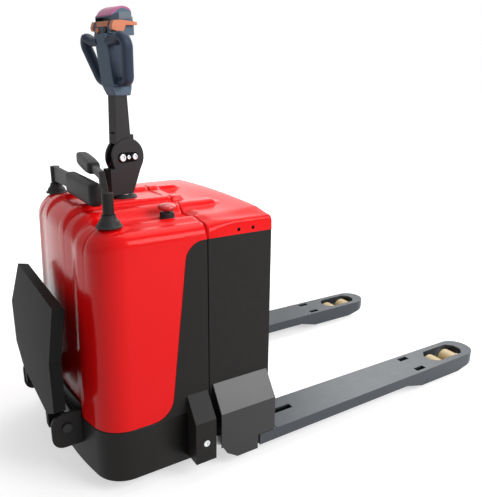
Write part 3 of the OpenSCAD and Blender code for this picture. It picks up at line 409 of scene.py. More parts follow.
def wear_group():
    """Rubbed edges and sparse scuffs: mixes a worn colour over a finish."""
    known = bpy.data.node_groups.get("rubbed_edges")
    if known:
        return known
    group = bpy.data.node_groups.new("rubbed_edges", "ShaderNodeTree")
    socket(group, "Color", "NodeSocketColor", "INPUT", (0.5, 0.5, 0.5, 1))
    socket(group, "Worn Color", "NodeSocketColor", "INPUT", (0.3, 0.3, 0.3, 1))
    socket(group, "Amount", "NodeSocketFloat", "INPUT", 0.3)
    socket(group, "Color", "NodeSocketColor", "OUTPUT")
    socket(group, "Mask", "NodeSocketFloat", "OUTPUT")
    enter = new_node(group, "NodeGroupInput")
    leave = new_node(group, "NodeGroupOutput")
    place = new_node(group, "ShaderNodeTexCoord")
    shape = new_node(group, "ShaderNodeNewGeometry")
    edge = new_node(group, "ShaderNodeMapRange")
    put(edge, {"From Min": 0.52, "From Max": 0.62})
    patch = new_node(group, "ShaderNodeTexNoise")
    put(patch, {"Scale": 38.0, "Detail": 6.0})
    broken = new_node(group, "ShaderNodeMapRange")
    put(broken, {"From Min": 0.42, "From Max": 0.68})
    both = new_node(group, "ShaderNodeMath", operation="MULTIPLY")
    amount = new_node(group, "ShaderNodeMath", operation="MULTIPLY", use_clamp=True)
    mix = new_node(group, "ShaderNodeMix", data_type="RGBA")
    link = group.links.new
    link(place.outputs["Object"], patch.inputs["Vector"])
    link(shape.outputs["Pointiness"], edge.inputs["Value"])
    link(patch.outputs["Fac"], broken.inputs["Value"])
    link(edge.outputs["Result"], both.inputs[0])
    link(broken.outputs["Result"], both.inputs[1])
    link(both.outputs[0], amount.inputs[0])
    link(enter.outputs["Amount"], amount.inputs[1])
    link(amount.outputs[0], mix.inputs["Factor"])
    link(enter.outputs["Color"], mix.inputs["A"])
    link(enter.outputs["Worn Color"], mix.inputs["B"])
    link(mix.outputs["Result"], leave.inputs["Color"])
    link(amount.outputs[0], leave.inputs["Mask"])
    return group


# What each finish is: colour or the name of its setting, metallic, roughness, drift of roughness,
# grain scale, bump, coat and worn colour
FINISHES = {
    "red_paint": ("red", 0.0, 0.22, 0.02, 420, 0.002, 0.12, (0.40, 0.02, 0.02)),
    "black_panel": ("black", 0.0, 0.44, 0.02, 900, 0.010, 0.0, (0.10, 0.10, 0.10)),
    "satin_steel": ((0.016, 0.015, 0.0145), 0.0, 0.36, 0.03, 900, 0.010, 0.0, (0.14, 0.14, 0.14)),
    "tray_black": ((0.008, 0.0085, 0.0085), 0.0, 0.55, 0.02, 900, 0.010, 0.0, (0.08, 0.08, 0.08)),
    "fork_paint": ("fork", 0.1, 0.35, 0.03, 700, 0.010, 0.0, (0.30, 0.30, 0.31)),
    "head_plastic": ("head", 0.0, 0.42, 0.06, 1300, 0.030, 0.0, (0.10, 0.12, 0.14)),
    "orange_plastic": ("orange", 0.0, 0.36, 0.05, 1200, 0.015, 0.0, (0.80, 0.34, 0.16)),
    "magenta_plastic": ("belly", 0.0, 0.36, 0.05, 1200, 0.015, 0.1, (0.50, 0.10, 0.18)),
    "cream_tread": ("cream", 0.0, 0.38, 0.10, 500, 0.020, 0.0, (0.34, 0.27, 0.16)),
    "bright_steel": ((0.66, 0.67, 0.69), 1.0, 0.26, 0.09, 600, 0.010, 0.0, (0.8, 0.8, 0.8)),
    "zinc_steel": ((0.40, 0.41, 0.43), 0.9, 0.42, 0.12, 420, 0.030, 0.0, (0.6, 0.6, 0.6)),
    "cast_grey": ((0.20, 0.21, 0.22), 0.4, 0.62, 0.10, 260, 0.060, 0.0, (0.4, 0.4, 0.4)),
    "black_rubber": ((0.018, 0.018, 0.019), 0.0, 0.66, 0.08, 800, 0.050, 0.0, (0.07, 0.07, 0.07)),
    "grip_rubber": ((0.022, 0.036, 0.062), 0.0, 0.50, 0.04, 900, 0.020, 0.0, (0.09, 0.10, 0.12)),
    "boot_rubber": ((0.024, 0.024, 0.025), 0.0, 0.50, 0.08, 900, 0.030, 0.0, (0.09, 0.09, 0.09)),
    "pad_skin": ((0.017, 0.016, 0.016), 0.0, 0.55, 0.04, 900, 0.040, 0.0, (0.08, 0.08, 0.08)),
    "drive_tyre": ((0.030, 0.029, 0.029), 0.0, 0.70, 0.08, 300, 0.070, 0.0, (0.10, 0.10, 0.10)),
    "black_plastic": ((0.027, 0.027, 0.029), 0.0, 0.44, 0.06, 1100, 0.030, 0.0, (0.10, 0.10, 0.10)),
    "grey_plastic": ((0.078, 0.105, 0.140), 0.0, 0.44, 0.06, 1100, 0.025, 0.0, (0.18, 0.19, 0.20)),
    "stop_red": ((0.52, 0.012, 0.016), 0.0, 0.30, 0.05, 900, 0.010, 0.3, (0.6, 0.1, 0.1)),
    "alloy": ((0.55, 0.56, 0.58), 0.9, 0.38, 0.08, 500, 0.020, 0.0, (0.7, 0.7, 0.7)),
    "battery_case": ((0.060, 0.065, 0.070), 0.0, 0.55, 0.08, 700, 0.040, 0.0, (0.14, 0.14, 0.14)),
    # Near black and barely mirroring: the screws' own black, and painted shade in the fork slots' wells,
    # the tiller's bolt recesses and the arm's slit
    "black_and_painted_shade": ((0.006, 0.006, 0.006), 0.0, 0.80, 0.05, 500, 0.010, 0.0, (0.02, 0.02, 0.02)),
}
# How strongly a finish mirrors the room, where that is not the usual half
USUAL_SHEEN = 0.5
SHEEN = {
    "black_panel": 0.13, "tray_black": 0.04, "satin_steel": 0.40, "pad_skin": 0.15, "black_rubber": 0.15,
    "boot_rubber": 0.15, "black_plastic": 0.16, "head_plastic": 0.12, "grip_rubber": 0.20,
    "fork_paint": 0.42, "red_paint": 0.08, "black_and_painted_shade": 0.02,
}
# How far the edges are rubbed, where that is less than usual
USUAL_WEAR = 0.2
WEAR = {
    "black_panel": 0.02, "tray_black": 0.02, "satin_steel": 0.03, "fork_paint": 0.03,
    "black_plastic": 0.05, "red_paint": 0.05,
}
# What all finishes share: drift of the colour, strength and height of the bump, roughness of the coat
COLOUR_DRIFT = 0.03
BUMP_GAIN = 8
BUMP_HEIGHT = 0.0006
COAT_ROUGHNESS = 0.07


def material(name):
    """The procedural material of a finish, built once."""
    known = bpy.data.materials.get("finish_" + name)
    if known:
        return known
    colour, metallic, roughness, drift, scale, depth, coat, worn = FINISHES[name]
    if isinstance(colour, str):
        colour = getattr(bpy.context.scene.truck_colours, colour)
    made = bpy.data.materials.new("finish_" + name)
    made.use_nodes = True
    tree = made.node_tree
    shader = tree.nodes["Principled BSDF"]
    grain = new_node(tree, "ShaderNodeGroup", node_tree=grain_group())
    put(grain, {"Color": (*colour, 1), "Drift": COLOUR_DRIFT, "Grain Scale": scale,
                "Roughness": roughness, "Roughness Drift": drift})
    wear = new_node(tree, "ShaderNodeGroup", node_tree=wear_group())
    put(wear, {"Worn Color": (*worn, 1), "Amount": WEAR.get(name, USUAL_WEAR)})
    relief = new_node(tree, "ShaderNodeBump")
    put(relief, {"Strength": min(1.0, depth * BUMP_GAIN), "Distance": BUMP_HEIGHT})
    link = tree.links.new
    link(grain.outputs["Color"], wear.inputs["Color"])
    link(wear.outputs["Color"], shader.inputs["Base Color"])
    link(grain.outputs["Roughness"], shader.inputs["Roughness"])
    link(grain.outputs["Height"], relief.inputs["Height"])
    link(relief.outputs["Normal"], shader.inputs["Normal"])
    put(shader, {"Metallic": metallic, "Coat Weight": coat, "Coat Roughness": COAT_ROUGHNESS,
                 "Specular IOR Level": SHEEN.get(name, USUAL_SHEEN)})
    return made


# Body shells

# Radii of the round edges of the cowl and of the battery cover
HOOD_FRONT_R = 75
HOOD_SIDE_R = 38
COVER_SEAM_R = 33
COVER_SIDE_R = 12
COVER_REAR_R = 9
# Share of its length that the cowl keeps at the top: its front leans back as it rises
DRAFT = 0.952
# Thickness of the red shells, and how far they turn inwards at their lower edge
SKIN = 4
COWL_LIP = 6
COVER_LIP = 5
# Half width of the front's dish and the width of its soft edge
FRONT_DISH = (165, 70)
# Ridges and grooves of the hood: distance from the middle, half width and soft edge
RIDGE = (97, 14, 9)
GROOVE = (121, 2, 6)
GROOVE_DEPTH = 5
# Slopes of the hood, from where to where: outside the ridges, into the pockets and out of them
OUTER_STEP = (118, 128)
OUTER_STEP_DROP = 2
POCKET_INNER = (166, 202)
POCKET_OUTER = (252, 272)
POCKET_FRONT = (-462, -425)
# The raised ring round each post
POST_RING = (37, 44)
POST_RING_RISE = 3
# How far the shoulders lie below the hood's middle, and their fall towards the sides
SHOULDER_DROP = 22
SHOULDER_START = 272
SHOULDER_FALL = 7
# How far the cover lies above the shoulders, and its rise to the middle of its rear edge
COVER_RISE = 3
COVER_CROWN = 13
CROWN_SLOPE = (-140, -10)
# Slopes round the ends of the ridges on the cover, and just behind the seam
INNER_SIDE = (112, 124)
INNER_END = (-196, -160)
OUTER_SIDE_IN = (118, 130)
OUTER_SIDE_OUT = (168, 196)
SEAM_SLOPE = (COWL_REAR + 4, COWL_REAR + 34)
# Round end of an outer ridge on the cover: its middle, half width, start, reach and slope
OUTER_Y = 147
OUTER_HALF = 36
OUTER_END = -100
OUTER_REACH = 26
OUTER_SLOPE = 26
OUTER_FLANK = -130
# Where the round of the cover's side edges has narrowed to its rear radius
SIDE_ROUND_END = -130
# How far the cover's sides hang over the top of the black box, and stand out from it
SIDE_LAP = 10
LAP_OUT = 1.2
# Half of the hood's middle, which has the ridges and the closest places of the grid
MIDDLE_HALF = 230
# Profiles of the turned pieces, as (radius, height) points
COLLAR_PROFILE = [(21, 0), (42, 0), (42, 4), (38, 8), (28, 11), (21, 11), (21, 0)]
SCREW_PROFILE = [(0, 0.9), (2.2, 0.9), (2.6, -0.6), (4.6, -0.6), (5.2, 0.2), (5.2, -3), (0, -3)]
# The cover's side screws: along the truck, out from the body and above the box
SCREW_X = (-121, -70)
SCREW_OUT = 1.6
SCREW_UP = 6


def front_x(y):
    """Where the cowl's front lies at y: bowed, round at the corners and dished in the middle."""
    a = abs(y)
    if a <= CORNER_Y * BOW_R / (BOW_R - CORNER_R):
        return BOW_X - math.sqrt(BOW_R**2 - a * a) + size("front_dish") * bump(0, *FRONT_DISH, y)
    return CORNER_X - math.sqrt(max(0.0, CORNER_R**2 - (a - CORNER_Y) ** 2))


def round_drop(d, r):
    """How far a round edge of radius r has dropped at a distance d from its outside."""
    return r - math.sqrt(max(0.0, r * r - (r - min(d, r)) ** 2))


def hood_level(x, y):
    """Height of the hood without its round edges."""
    a = abs(y)
    deep = smooth_step(*POCKET_FRONT, x)
    pocket = size("pocket") * deep + SHOULDER_DROP * (1 - deep)
    z = size("hood_z") + size("ridge") * bump(*RIDGE, a)
    z -= GROOVE_DEPTH * bump(*GROOVE, a) + OUTER_STEP_DROP * smooth_step(*OUTER_STEP, a)
    z -= (pocket - OUTER_STEP_DROP) * smooth_step(*POCKET_INNER, a)
    z += (pocket - SHOULDER_DROP) * smooth_step(*POCKET_OUTER, a)
    z -= SHOULDER_FALL * smooth_step(SHOULDER_START, BODY_HALF - HOOD_SIDE_R, a)
    post = math.hypot(x - POST[0], a - POST[1])
    return z + POST_RING_RISE * (1 - smooth_step(*POST_RING, post))


def edge_drop(x, y):
    """Drop of the cowl's round front and side edges, at a place of its upright plan."""
    a = abs(y)
    if x < CORNER_X and a > CORNER_Y:
        turn = math.atan2(a - CORNER_Y, CORNER_X - x) / (math.pi / 2)
        r = HOOD_FRONT_R + (HOOD_SIDE_R - HOOD_FRONT_R) * smooth_step(0, 1, turn)
        return round_drop(max(0.0, CORNER_R - math.hypot(x - CORNER_X, a - CORNER_Y)), r)
    if a > CORNER_Y:
        return round_drop(BODY_HALF - a, HOOD_SIDE_R)
    return round_drop(max(0.0, x - front_x(y)), HOOD_FRONT_R)


def ridge_end(a):
    """Where the slope of an outer ridge's round end meets the cover, at a from the middle."""
    off = (a - OUTER_Y) / OUTER_HALF
    if abs(off) >= 1:
        return OUTER_FLANK
    return OUTER_END + OUTER_REACH * math.sqrt(1 - off**2)


def cover_level(x, y):
    """Height of the battery cover: low, with the hood's ridges ending on it."""
    a = abs(y)
    base = size("hood_z") - SHOULDER_DROP + COVER_RISE
    base -= SHOULDER_FALL * smooth_step(SHOULDER_START, BODY_HALF - COVER_SIDE_R, a)
    base += COVER_CROWN * (1 - (a / BODY_HALF) ** 2) * smooth_step(*CROWN_SLOPE, x)
    hood = hood_level(COWL_REAR, y)
    inner = (1 - smooth_step(*INNER_SIDE, a)) * (1 - smooth_step(*INNER_END, x))
    end = ridge_end(a)
    outer = smooth_step(*OUTER_SIDE_IN, a) * (1 - smooth_step(*OUTER_SIDE_OUT, a))
    outer *= 1 - smooth_step(end - OUTER_SLOPE, end, x)
    near_seam = 1 - smooth_step(*SEAM_SLOPE, x)
    z = base + (hood - base) * max(inner, outer, near_seam)
    side_r = COVER_SEAM_R + (COVER_SIDE_R - COVER_SEAM_R) * smooth_step(COWL_REAR, SIDE_ROUND_END, x)
    return z - round_drop(BODY_HALF - a, side_r) - round_drop(-x, COVER_REAR_R)


def spread(start, end, count):
    """Even places after start, up to end."""
    return [start + (end - start) * i / count for i in range(1, count + 1)]


def side_steps():
    """Places across the hood, close together over the round side edges."""
    inner = BODY_HALF - HOOD_SIDE_R
    half = spread(0, MIDDLE_HALF, 46) + spread(MIDDLE_HALF, inner, 36)
    half += [inner + HOOD_SIDE_R * math.sin(math.pi / 2 * i / 14) for i in range(1, 15)]
    return [-h for h in reversed(half)] + [0] + half


def length_steps(start, end, r):
    """Shares from start to end, close together over the round end of radius r."""
    length = abs(end - start)
    flat = [(length - r) / length * i / 26 for i in range(27)]
    return flat + [1 - r / length * (1 - math.sin(math.pi / 2 * i / 10)) for i in range(1, 11)]


def sheet_from_grid(bm, shares, across, place):
    """A grid of faces whose points are moved to place(share, y)."""
    nx, ny = len(shares) - 1, len(across) - 1
    verts = bmesh.ops.create_grid(bm, x_segments=nx, y_segments=ny, size=1.0)["verts"]
    for v in verts:
        i = round((v.co.x + 1) / 2 * nx)
        j = round((v.co.y + 1) / 2 * ny)
        v.co = place(shares[i], across[j])


def drop_walls(bm, open_x, low, lip, draft=1.0):
    """Extrudes the sheet's outside edges, but those at open_x, down to low, and a lip inwards there.

    The walls get longer by the draft as they go down.
    """
    seam = at(COWL_REAR, 0, 0).x
    left_open = at(open_x, 0, 0).x
    edges = [e for e in bm.edges if e.is_boundary
             and any(abs(v.co.x - left_open) >= 1e-5 for v in e.verts)]
    made = bmesh.ops.extrude_edge_only(bm, edges=edges)["geom"]
    verts = [v for v in made if isinstance(v, bmesh.types.BMVert)]
    for v in verts:
        v.co.x = seam + (v.co.x - seam) / draft
        v.co.z = low * MM
    hem = [e for e in made if isinstance(e, bmesh.types.BMEdge) and e.is_boundary
           and e.verts[0] in verts and e.verts[1] in verts]
    made = bmesh.ops.extrude_edge_only(bm, edges=hem)["geom"]
    inner = [v for v in made if isinstance(v, bmesh.types.BMVert)]
    middle = at((COWL_FRONT + COWL_REAR) / 2, 0, 0)
    for v in inner:
        flat = Vector((v.co.x - middle.x, v.co.y, 0)).normalized()
        v.co -= flat * (lip * MM)
    bmesh.ops.recalc_face_normals(bm, faces=bm.faces)


class TRUCK_OT_cowl(bpy.types.Operator):
    """Red drive cowl with its long ridges, pockets and dished front"""

    bl_idname = "truck.cowl"
    bl_label = "Drive cowl"

    def execute(self, context):
        bm = bmesh.new()

        def place(share, y):
            upright = COWL_REAR + (front_x(y) - COWL_REAR) * share
            x = COWL_REAR + (upright - COWL_REAR) * DRAFT
            return at(x, y, hood_level(x, y) - edge_drop(upright, y))

        sheet_from_grid(bm, length_steps(COWL_REAR, COWL_FRONT, HOOD_FRONT_R), side_steps(), place)
        drop_walls(bm, COWL_REAR, SKIRT_TOP, COWL_LIP, DRAFT)
        nodes = ("cowl_hood", "cowl_front")
        cowl = piece(bm, "drive_cowl", "chassis", "red_paint", nodes, angle=50, weighted=False)
        wall(cowl, SKIN)
        bm = bmesh.new()
        lathe(bm, COLLAR_PROFILE, at(STEER_X, 0, size("hood_z") - 1), UP)
        piece(bm, "column_collar", "chassis", "boot_rubber")
        return {"FINISHED"}


class TRUCK_OT_cover(bpy.types.Operator):
    """Red battery cover with the ends of the ridges and its side screws"""

    bl_idname = "truck.cover"
    bl_label = "Battery cover"

    def execute(self, context):
        front = (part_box("battery_cover")[0][0] - REAR) / MM
        bm = bmesh.new()

        def place(share, y):
            x = front * (1 - share)
            return at(x, y, cover_level(x, y))

        sheet_from_grid(bm, length_steps(front, 0, COVER_REAR_R), side_steps(), place)
        drop_walls(bm, front, COVER_LOW + 1, COVER_LIP)
        for v in bm.verts:
            if abs(v.co.y) > (BODY_HALF - 0.1) * MM and v.co.z < (COVER_LOW + 2) * MM:
                v.co.z -= SIDE_LAP * MM
                v.co.y += math.copysign(LAP_OUT * MM, v.co.y)
        nodes = ("battery_cover",)
        cover = piece(bm, "battery_lid", "battery_cover", "red_paint", nodes, angle=50, weighted=False)
        wall(cover, SKIN)
        bm = bmesh.new()
        for side, _ in SIDES:
            for x in SCREW_X:
                centre = at(x, side * (BODY_HALF + SCREW_OUT), COVER_LOW + SCREW_UP)
                lathe(bm, SCREW_PROFILE, centre, (0, side, 0), 20)
        piece(bm, "cover_screws", "battery_cover", "black_and_painted_shade")
        return {"FINISHED"}


# Black panels, boxes and forks

# Side panel: run of its sloping edge, and place along the truck and radius of its two bends
PANEL_SLOPE = 76
PANEL_TOP = (-241, 60)
PANEL_FOOT = (-421, 70)
# How far the panel reaches into the body and stands out from it
PANEL_IN = 4
PANEL_OUT = 1.6
# The skirt's wall, and the round of its rims
SKIRT_WALL = 5
SKIRT_ROUND = 7
# Strips behind the seam between panel and box: how deep, how far sunk, their lap and gap
STRIP_IN = 6
STRIP_SUNK = 0.3
STRIP_LAP = 3
STRIP_GAP = 0.4
STRIP_TOP = COVER_LOW + 8
# Fillers between a fork's root and its cover: along from the root, upwards and out from the body
ROOT_X = (-40, 2)
ROOT_Z = (52, 86)
ROOT_OUT = (48, 54)
LINK_RING_PROFILE = [(17, -4), (24, -4), (24, 0.4), (22.5, 0.9), (19, 0.9), (17.5, -0.5), (17, -4)]
LINK_BOLT_PROFILE = [
    (8, -58), (8, -6), (16.5, -6), (16.5, -1.5), (15.8, -0.8), (11.5, -0.8), (10.8, 0.2), (10.5, 0.6),
    (6, 0.6), (5.5, -2.5), (0, -2.5),
]
# Wells under the slots of a fork, near black as painted shade: along the truck, and across from the
# fork's middle
SLOT_WELLS = ((4, 124, -26, 7), (719, 773, -59, -33), (719, 773, 33, 59))
WELL_LEVELS = (68, 82.5)
WELL_WALL = 1.5
PIN_PROFILE = [(0, -27), (5, -27), (5, -15), (4, -14), (0, -14)]
PIN_X = 748
PIN_OFF = 46
FORK_TOP = 90


def panel_outline():
    """Outline of the black side panel in X and Z."""
    top = COVER_LOW - SIDE_LAP
    slope = math.degrees(math.atan2(COVER_LOW - SKIRT_TOP, PANEL_SLOPE))
    return ([(COWL_REAR, SKIRT_TOP), (COWL_REAR, top)]
            + arc(PANEL_TOP[0], top - PANEL_TOP[1], PANEL_TOP[1], 90, 90 + slope, 10)
            + arc(PANEL_FOOT[0], SKIRT_TOP + PANEL_FOOT[1], PANEL_FOOT[1], slope - 90, -90, 10))


def skirt_outline():
    """Outline of the lower skirt in X and Y: the upright plan of the cowl."""
    corner = math.degrees(math.atan2(CORNER_Y, CORNER_X - BOW_X))
    return ([(COWL_REAR, -BODY_HALF), (COWL_REAR, BODY_HALF)]
            + arc(CORNER_X, CORNER_Y, CORNER_R, 90, corner, 16)
            + arc(BOW_X, 0, BOW_R, corner, 360 - corner, 40)[1:-1]
            + arc(CORNER_X, -CORNER_Y, CORNER_R, 360 - corner, 270, 16))


class TRUCK_OT_panels(bpy.types.Operator):
    """Black side panels, lower skirt and battery box"""

    bl_idname = "truck.panels"
    bl_label = "Panels and skirt"

    def execute(self, context):
        for side, name in SIDES:
            replaces = ("side_panels",) if side < 0 else ()
            block("panel_" + name, "chassis", "black_panel", panel_outline(), side_on,
                  side * (BODY_HALF - PANEL_IN), side * (BODY_HALF + PANEL_OUT), 1.4, replaces=replaces)
        bm = bmesh.new()
        prism(bm, skirt_outline(), flat_on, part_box("base_skirt")[0][2] / MM, SKIRT_TOP - 1)
        rear = [f for f in bm.faces if f.normal.x > 0.9]
        rims = [e for e in bm.edges if e.calc_face_angle(0) > 0.9
                and not any(f in rear for f in e.link_faces)]
        round_edges(bm, rims, SKIRT_ROUND, 4)
        open_faces = [f for f in bm.faces if abs(f.normal.z) > 0.99 or f.normal.x > 0.95]
        bmesh.ops.delete(bm, geom=open_faces, context="FACES")
        wall(piece(bm, "lower_skirt", "chassis", "black_panel", ("base_skirt",)), SKIRT_WALL)
        lap = COVER_LOW - SIDE_LAP
        seam_end = (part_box("fork_carriage")[0][0] - REAR) / MM - STRIP_GAP
        for finish, low, high in (("black_panel", SKIRT_TOP, lap), ("red_paint", lap, STRIP_TOP)):
            bm = bmesh.new()
            strip = oblong(COWL_REAR - STRIP_LAP, seam_end, low, high)
            for side, _ in SIDES:
                prism(bm, strip, side_on, side * (BODY_HALF - STRIP_IN), side * (BODY_HALF - STRIP_SUNK))
            piece(bm, "seam_" + finish, "chassis", finish)
        softened("fork_carriage", "fork_carriage", "black_panel", size("edge") / 2)
        return {"FINISHED"}


class TRUCK_OT_side_boxes(bpy.types.Operator):
    """Link housings and fork covers beside the body, with the link bolts"""

    bl_idname = "truck.side_boxes"
    bl_label = "Side boxes"

    def execute(self, context):
        softened("link_housings", "chassis", "black_panel", 5, 4)
        softened("fork_covers", "fork_carriage", "satin_steel", 6, 4)
        root = (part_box("right_fork")[0][0] - REAR) / MM
        outline = oblong(root + ROOT_X[0], root + ROOT_X[1], *ROOT_Z)
        bm = bmesh.new()
        for side, _ in SIDES:
            inner, outer = [side * (BODY_HALF + out) for out in ROOT_OUT]
            prism(bm, outline, side_on, inner, outer)
        piece(bm, "fork_roots", "fork_carriage", "satin_steel")
        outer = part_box("link_housings")[1][1] / MM
        low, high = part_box("link_pivot_bolts")
        x = ((low[0] + high[0]) / 2 - REAR) / MM
        z = (low[2] + high[2]) / 2 / MM
        for side, name in SIDES:
            bm = bmesh.new()
            lathe(bm, LINK_RING_PROFILE, at(x, side * outer, z), (0, side, 0))
            piece(bm, "link_ring_" + name, "chassis", "black_panel")
        bm = bmesh.new()
        for side, _ in SIDES:
            lathe(bm, LINK_BOLT_PROFILE, at(x, side * outer, z), (0, side, 0), 36)
        piece(bm, "link_bolts", "chassis", "bright_steel", ("link_pivot_bolts",))
        return {"FINISHED"}


class TRUCK_OT_forks(bpy.types.Operator):
    """Forks with rounded plate edges, the pin ends seen in their slots, and wells under the slots
    painted near black as shade
    """

    bl_idname = "truck.forks"
    bl_label = "Forks"

    def execute(self, context):
        for name in ("right_fork", "left_fork"):
            softened(name, "fork_carriage", "fork_paint", 2.6)
        # Near-black wells under the slots paint the shade inside them
        bm = bmesh.new()
        for side, _ in SIDES:
            for well in SLOT_WELLS:
                outline = [(x, side * (FORK_Y + y)) for x, y in oblong(*well)]
                top = prism(bm, outline, flat_on, *WELL_LEVELS)
                lids = [f for f in bm.faces if f.normal.z > 0.9 and all(v in top for v in f.verts)]
                bmesh.ops.delete(bm, geom=lids, context="FACES_ONLY")
        wall(piece(bm, "slot_wells_painted_shade", "fork_carriage", "black_and_painted_shade"), WELL_WALL)
        bm = bmesh.new()
        for side, _ in SIDES:
            for off in (-PIN_OFF, PIN_OFF):
                lathe(bm, PIN_PROFILE, at(PIN_X, side * FORK_Y + off, FORK_TOP), UP, 24)
        piece(bm, "slot_pins", "fork_carriage", "zinc_steel")
        return {"FINISHED"}


# Tiller and handle

# Directions to the rear and to the left of the steered drive unit
STEER_U = Vector((math.cos(STEER_REST), math.sin(STEER_REST), 0))
STEER_C = Vector((-math.sin(STEER_REST), math.cos(STEER_REST), 0))
# Half width of the tiller base, and its bolts: place, radius and height of the head
BASE_HALF = 21
BOLT_OFF = 24
BASE_BOLTS = ((-BOLT_OFF, 12, 6), (0, 7, 4.5), (BOLT_OFF, 10, 5))
# The slit in the arm's front, filled by a near-black block of painted shade: its outline, and its depth
# along the truck
SLIT = (-10, 10, 1060, 1065)
SLIT_DEPTH = (-32.4, -24)
# Middle line of a handle bow across the head and above its clamp, and how the bow leans
BOW_LINE = ([(24, 42), (40, 41)] + arc(50, 68, 28, -68, -21, 6) + arc(78, 146, 28, -21, 62, 10)
            + [(62, 158), (24, 157)])
BOW_MIDDLE = -28
BOW_HEIGHT = 110
BOW_LEAN = math.tan(math.radians(14))
# Half width and half depth of a bow, as shares of the grip's half thickness
BOW_WIDE = 1.12
BOW_DEEP = 1.5
# Outlines in the head's length and height: clamp, collar, and the belly button's crown and body
CLAMP = [(-28, -1), (29, -1), (35, 28), (-43, 28)]
BELLY_COLLAR = [(-46, 198), (38, 205), (38, 231.5), (-40, 215), (-46, 212.5)]
CROWN = [(33, 248), (27, 254), (18, 257.5), (8, 259), (-4, 258), (-18, 252), (-30, 243.5), (-41, 230)]
CROWN_UNDER = [(a * 0.95 - 0.2, b - 9 + 4 * (abs(a + 4) / 37) ** 4) for a, b in reversed(CROWN)]
BELLY_TOP = [(a * 0.94 - 0.3, b - 6) for a, b in CROWN[1:-1]]
BELLY_BODY = [(-41, 224), (32, 240.5), (32, 245)] + BELLY_TOP + [(-40, 229)]
# Plates on both sides of the head: name, body, finish, outline, inner and outer face, round, its steps
SIDE_PLATES = (
    ("belly_pad_", "belly_button", "grey_plastic",
     [(-14, 220), (32, 224), (32, 245), (-14, 240)], 41.2, 42.6, 1, 3),
    ("belly_side_", "belly_button", "grip_rubber",
     [(-41, 214), (-13, 218), (-13, 240), (-41, 229)], 41.2, 42.2, 0.4, 2),
    # The dark plates on the spine's sides are painted shade, where the bows shade the spine
    ("spine_painted_shade_", "tiller", "grip_rubber",
     [(-37, 32), (27, 32), (27, 174), (-53, 174)], 29.5, 30.8, 0.5, 2),
)
# Blocks of the head: name, body, finish, outline, half width, round and its steps, replaced nodes
HEAD_BLOCKS = (
    ("head_clamp", "tiller", "head_plastic", CLAMP, 26, 4, 4, ()),
    ("belly_crown", "belly_button", "magenta_plastic", CROWN + CROWN_UNDER, 40, 3.5, 4,
     ("belly_button",)),
    ("belly_body", "belly_button", "head_plastic", BELLY_BODY, 41.3, 1.5, 3, ()),
    ("belly_collar", "tiller", "head_plastic", BELLY_COLLAR, 40, 1.5, 2, ()),
)
# The plate on the head's front: its outline across the head, and its depth along it
FRONT_PLATE = (-33, 24, HEAD_Z + 198, HEAD_Z + 213)
FRONT_PLATE_DEPTH = (-50, -44)


def bow_path(side):
    """Middle line of a leaning handle bow, from the clamp round to the spine below the cap."""
    smooth = []
    for (a0, b0), (a1, b1) in zip(BOW_LINE, BOW_LINE[1:]):
        smooth += [(a0 + (a1 - a0) * k / 3, b0 + (b1 - b0) * k / 3) for k in range(3)]
    smooth.append(BOW_LINE[-1])
    return [steered(BOW_MIDDLE + BOW_LEAN * (BOW_HEIGHT - w), side * c, HEAD_Z + w) for c, w in smooth]


def head_side(a, b, depth):
    """Outline in the head's length and height above its clamp, depth across it."""
    return steered(a, depth, HEAD_Z + b)


class TRUCK_OT_tiller(bpy.types.Operator):
    """Tiller base with its bolts and the tapering arm with its slit, both with near-black patches of
    painted shade
    """

    bl_idname = "truck.tiller"
    bl_label = "Tiller"

    def execute(self, context):
        softened("tiller_base", "drive_unit", "black_plastic", 4, 4)
        softened("tiller_arm", "tiller", "black_plastic", 5, 4)
        x, z = TILT
        # Near-black patches round the base's bolts are painted shade, where recesses would lie in shade
        recess = arc(x - BOLT_OFF, z, 17, 90, 270, 10) + arc(x + BOLT_OFF, z, 15, -90, 90, 10)
        for side, name in SIDES:
            block("bolt_recess_painted_shade_" + name, "drive_unit", "black_and_painted_shade", recess, steered_side,
                  side * (BASE_HALF - 2), side * (BASE_HALF + 0.8), 0.6, 2)
        bm = bmesh.new()
        for side, _ in SIDES:
            for shift, r, high in BASE_BOLTS:
                profile = [(0, -6), (r, -6), (r, high - 1.2), (r - 1.2, high), (r * 0.52, high),
                           (r * 0.5, high - 3), (0, high - 3)]
                lathe(bm, profile, steered(x + shift, side * BASE_HALF, z), STEER_C * side, 32)
        piece(bm, "tiller_bolts", "drive_unit", "bright_steel", ("tiller_pivot_bolts",))
        # The slit is a near-black block of painted shade
        block("arm_slit_painted_shade", "tiller", "black_and_painted_shade", oblong(*SLIT), steered_end, *SLIT_DEPTH, 0.5, 2)
        return {"FINISHED"}


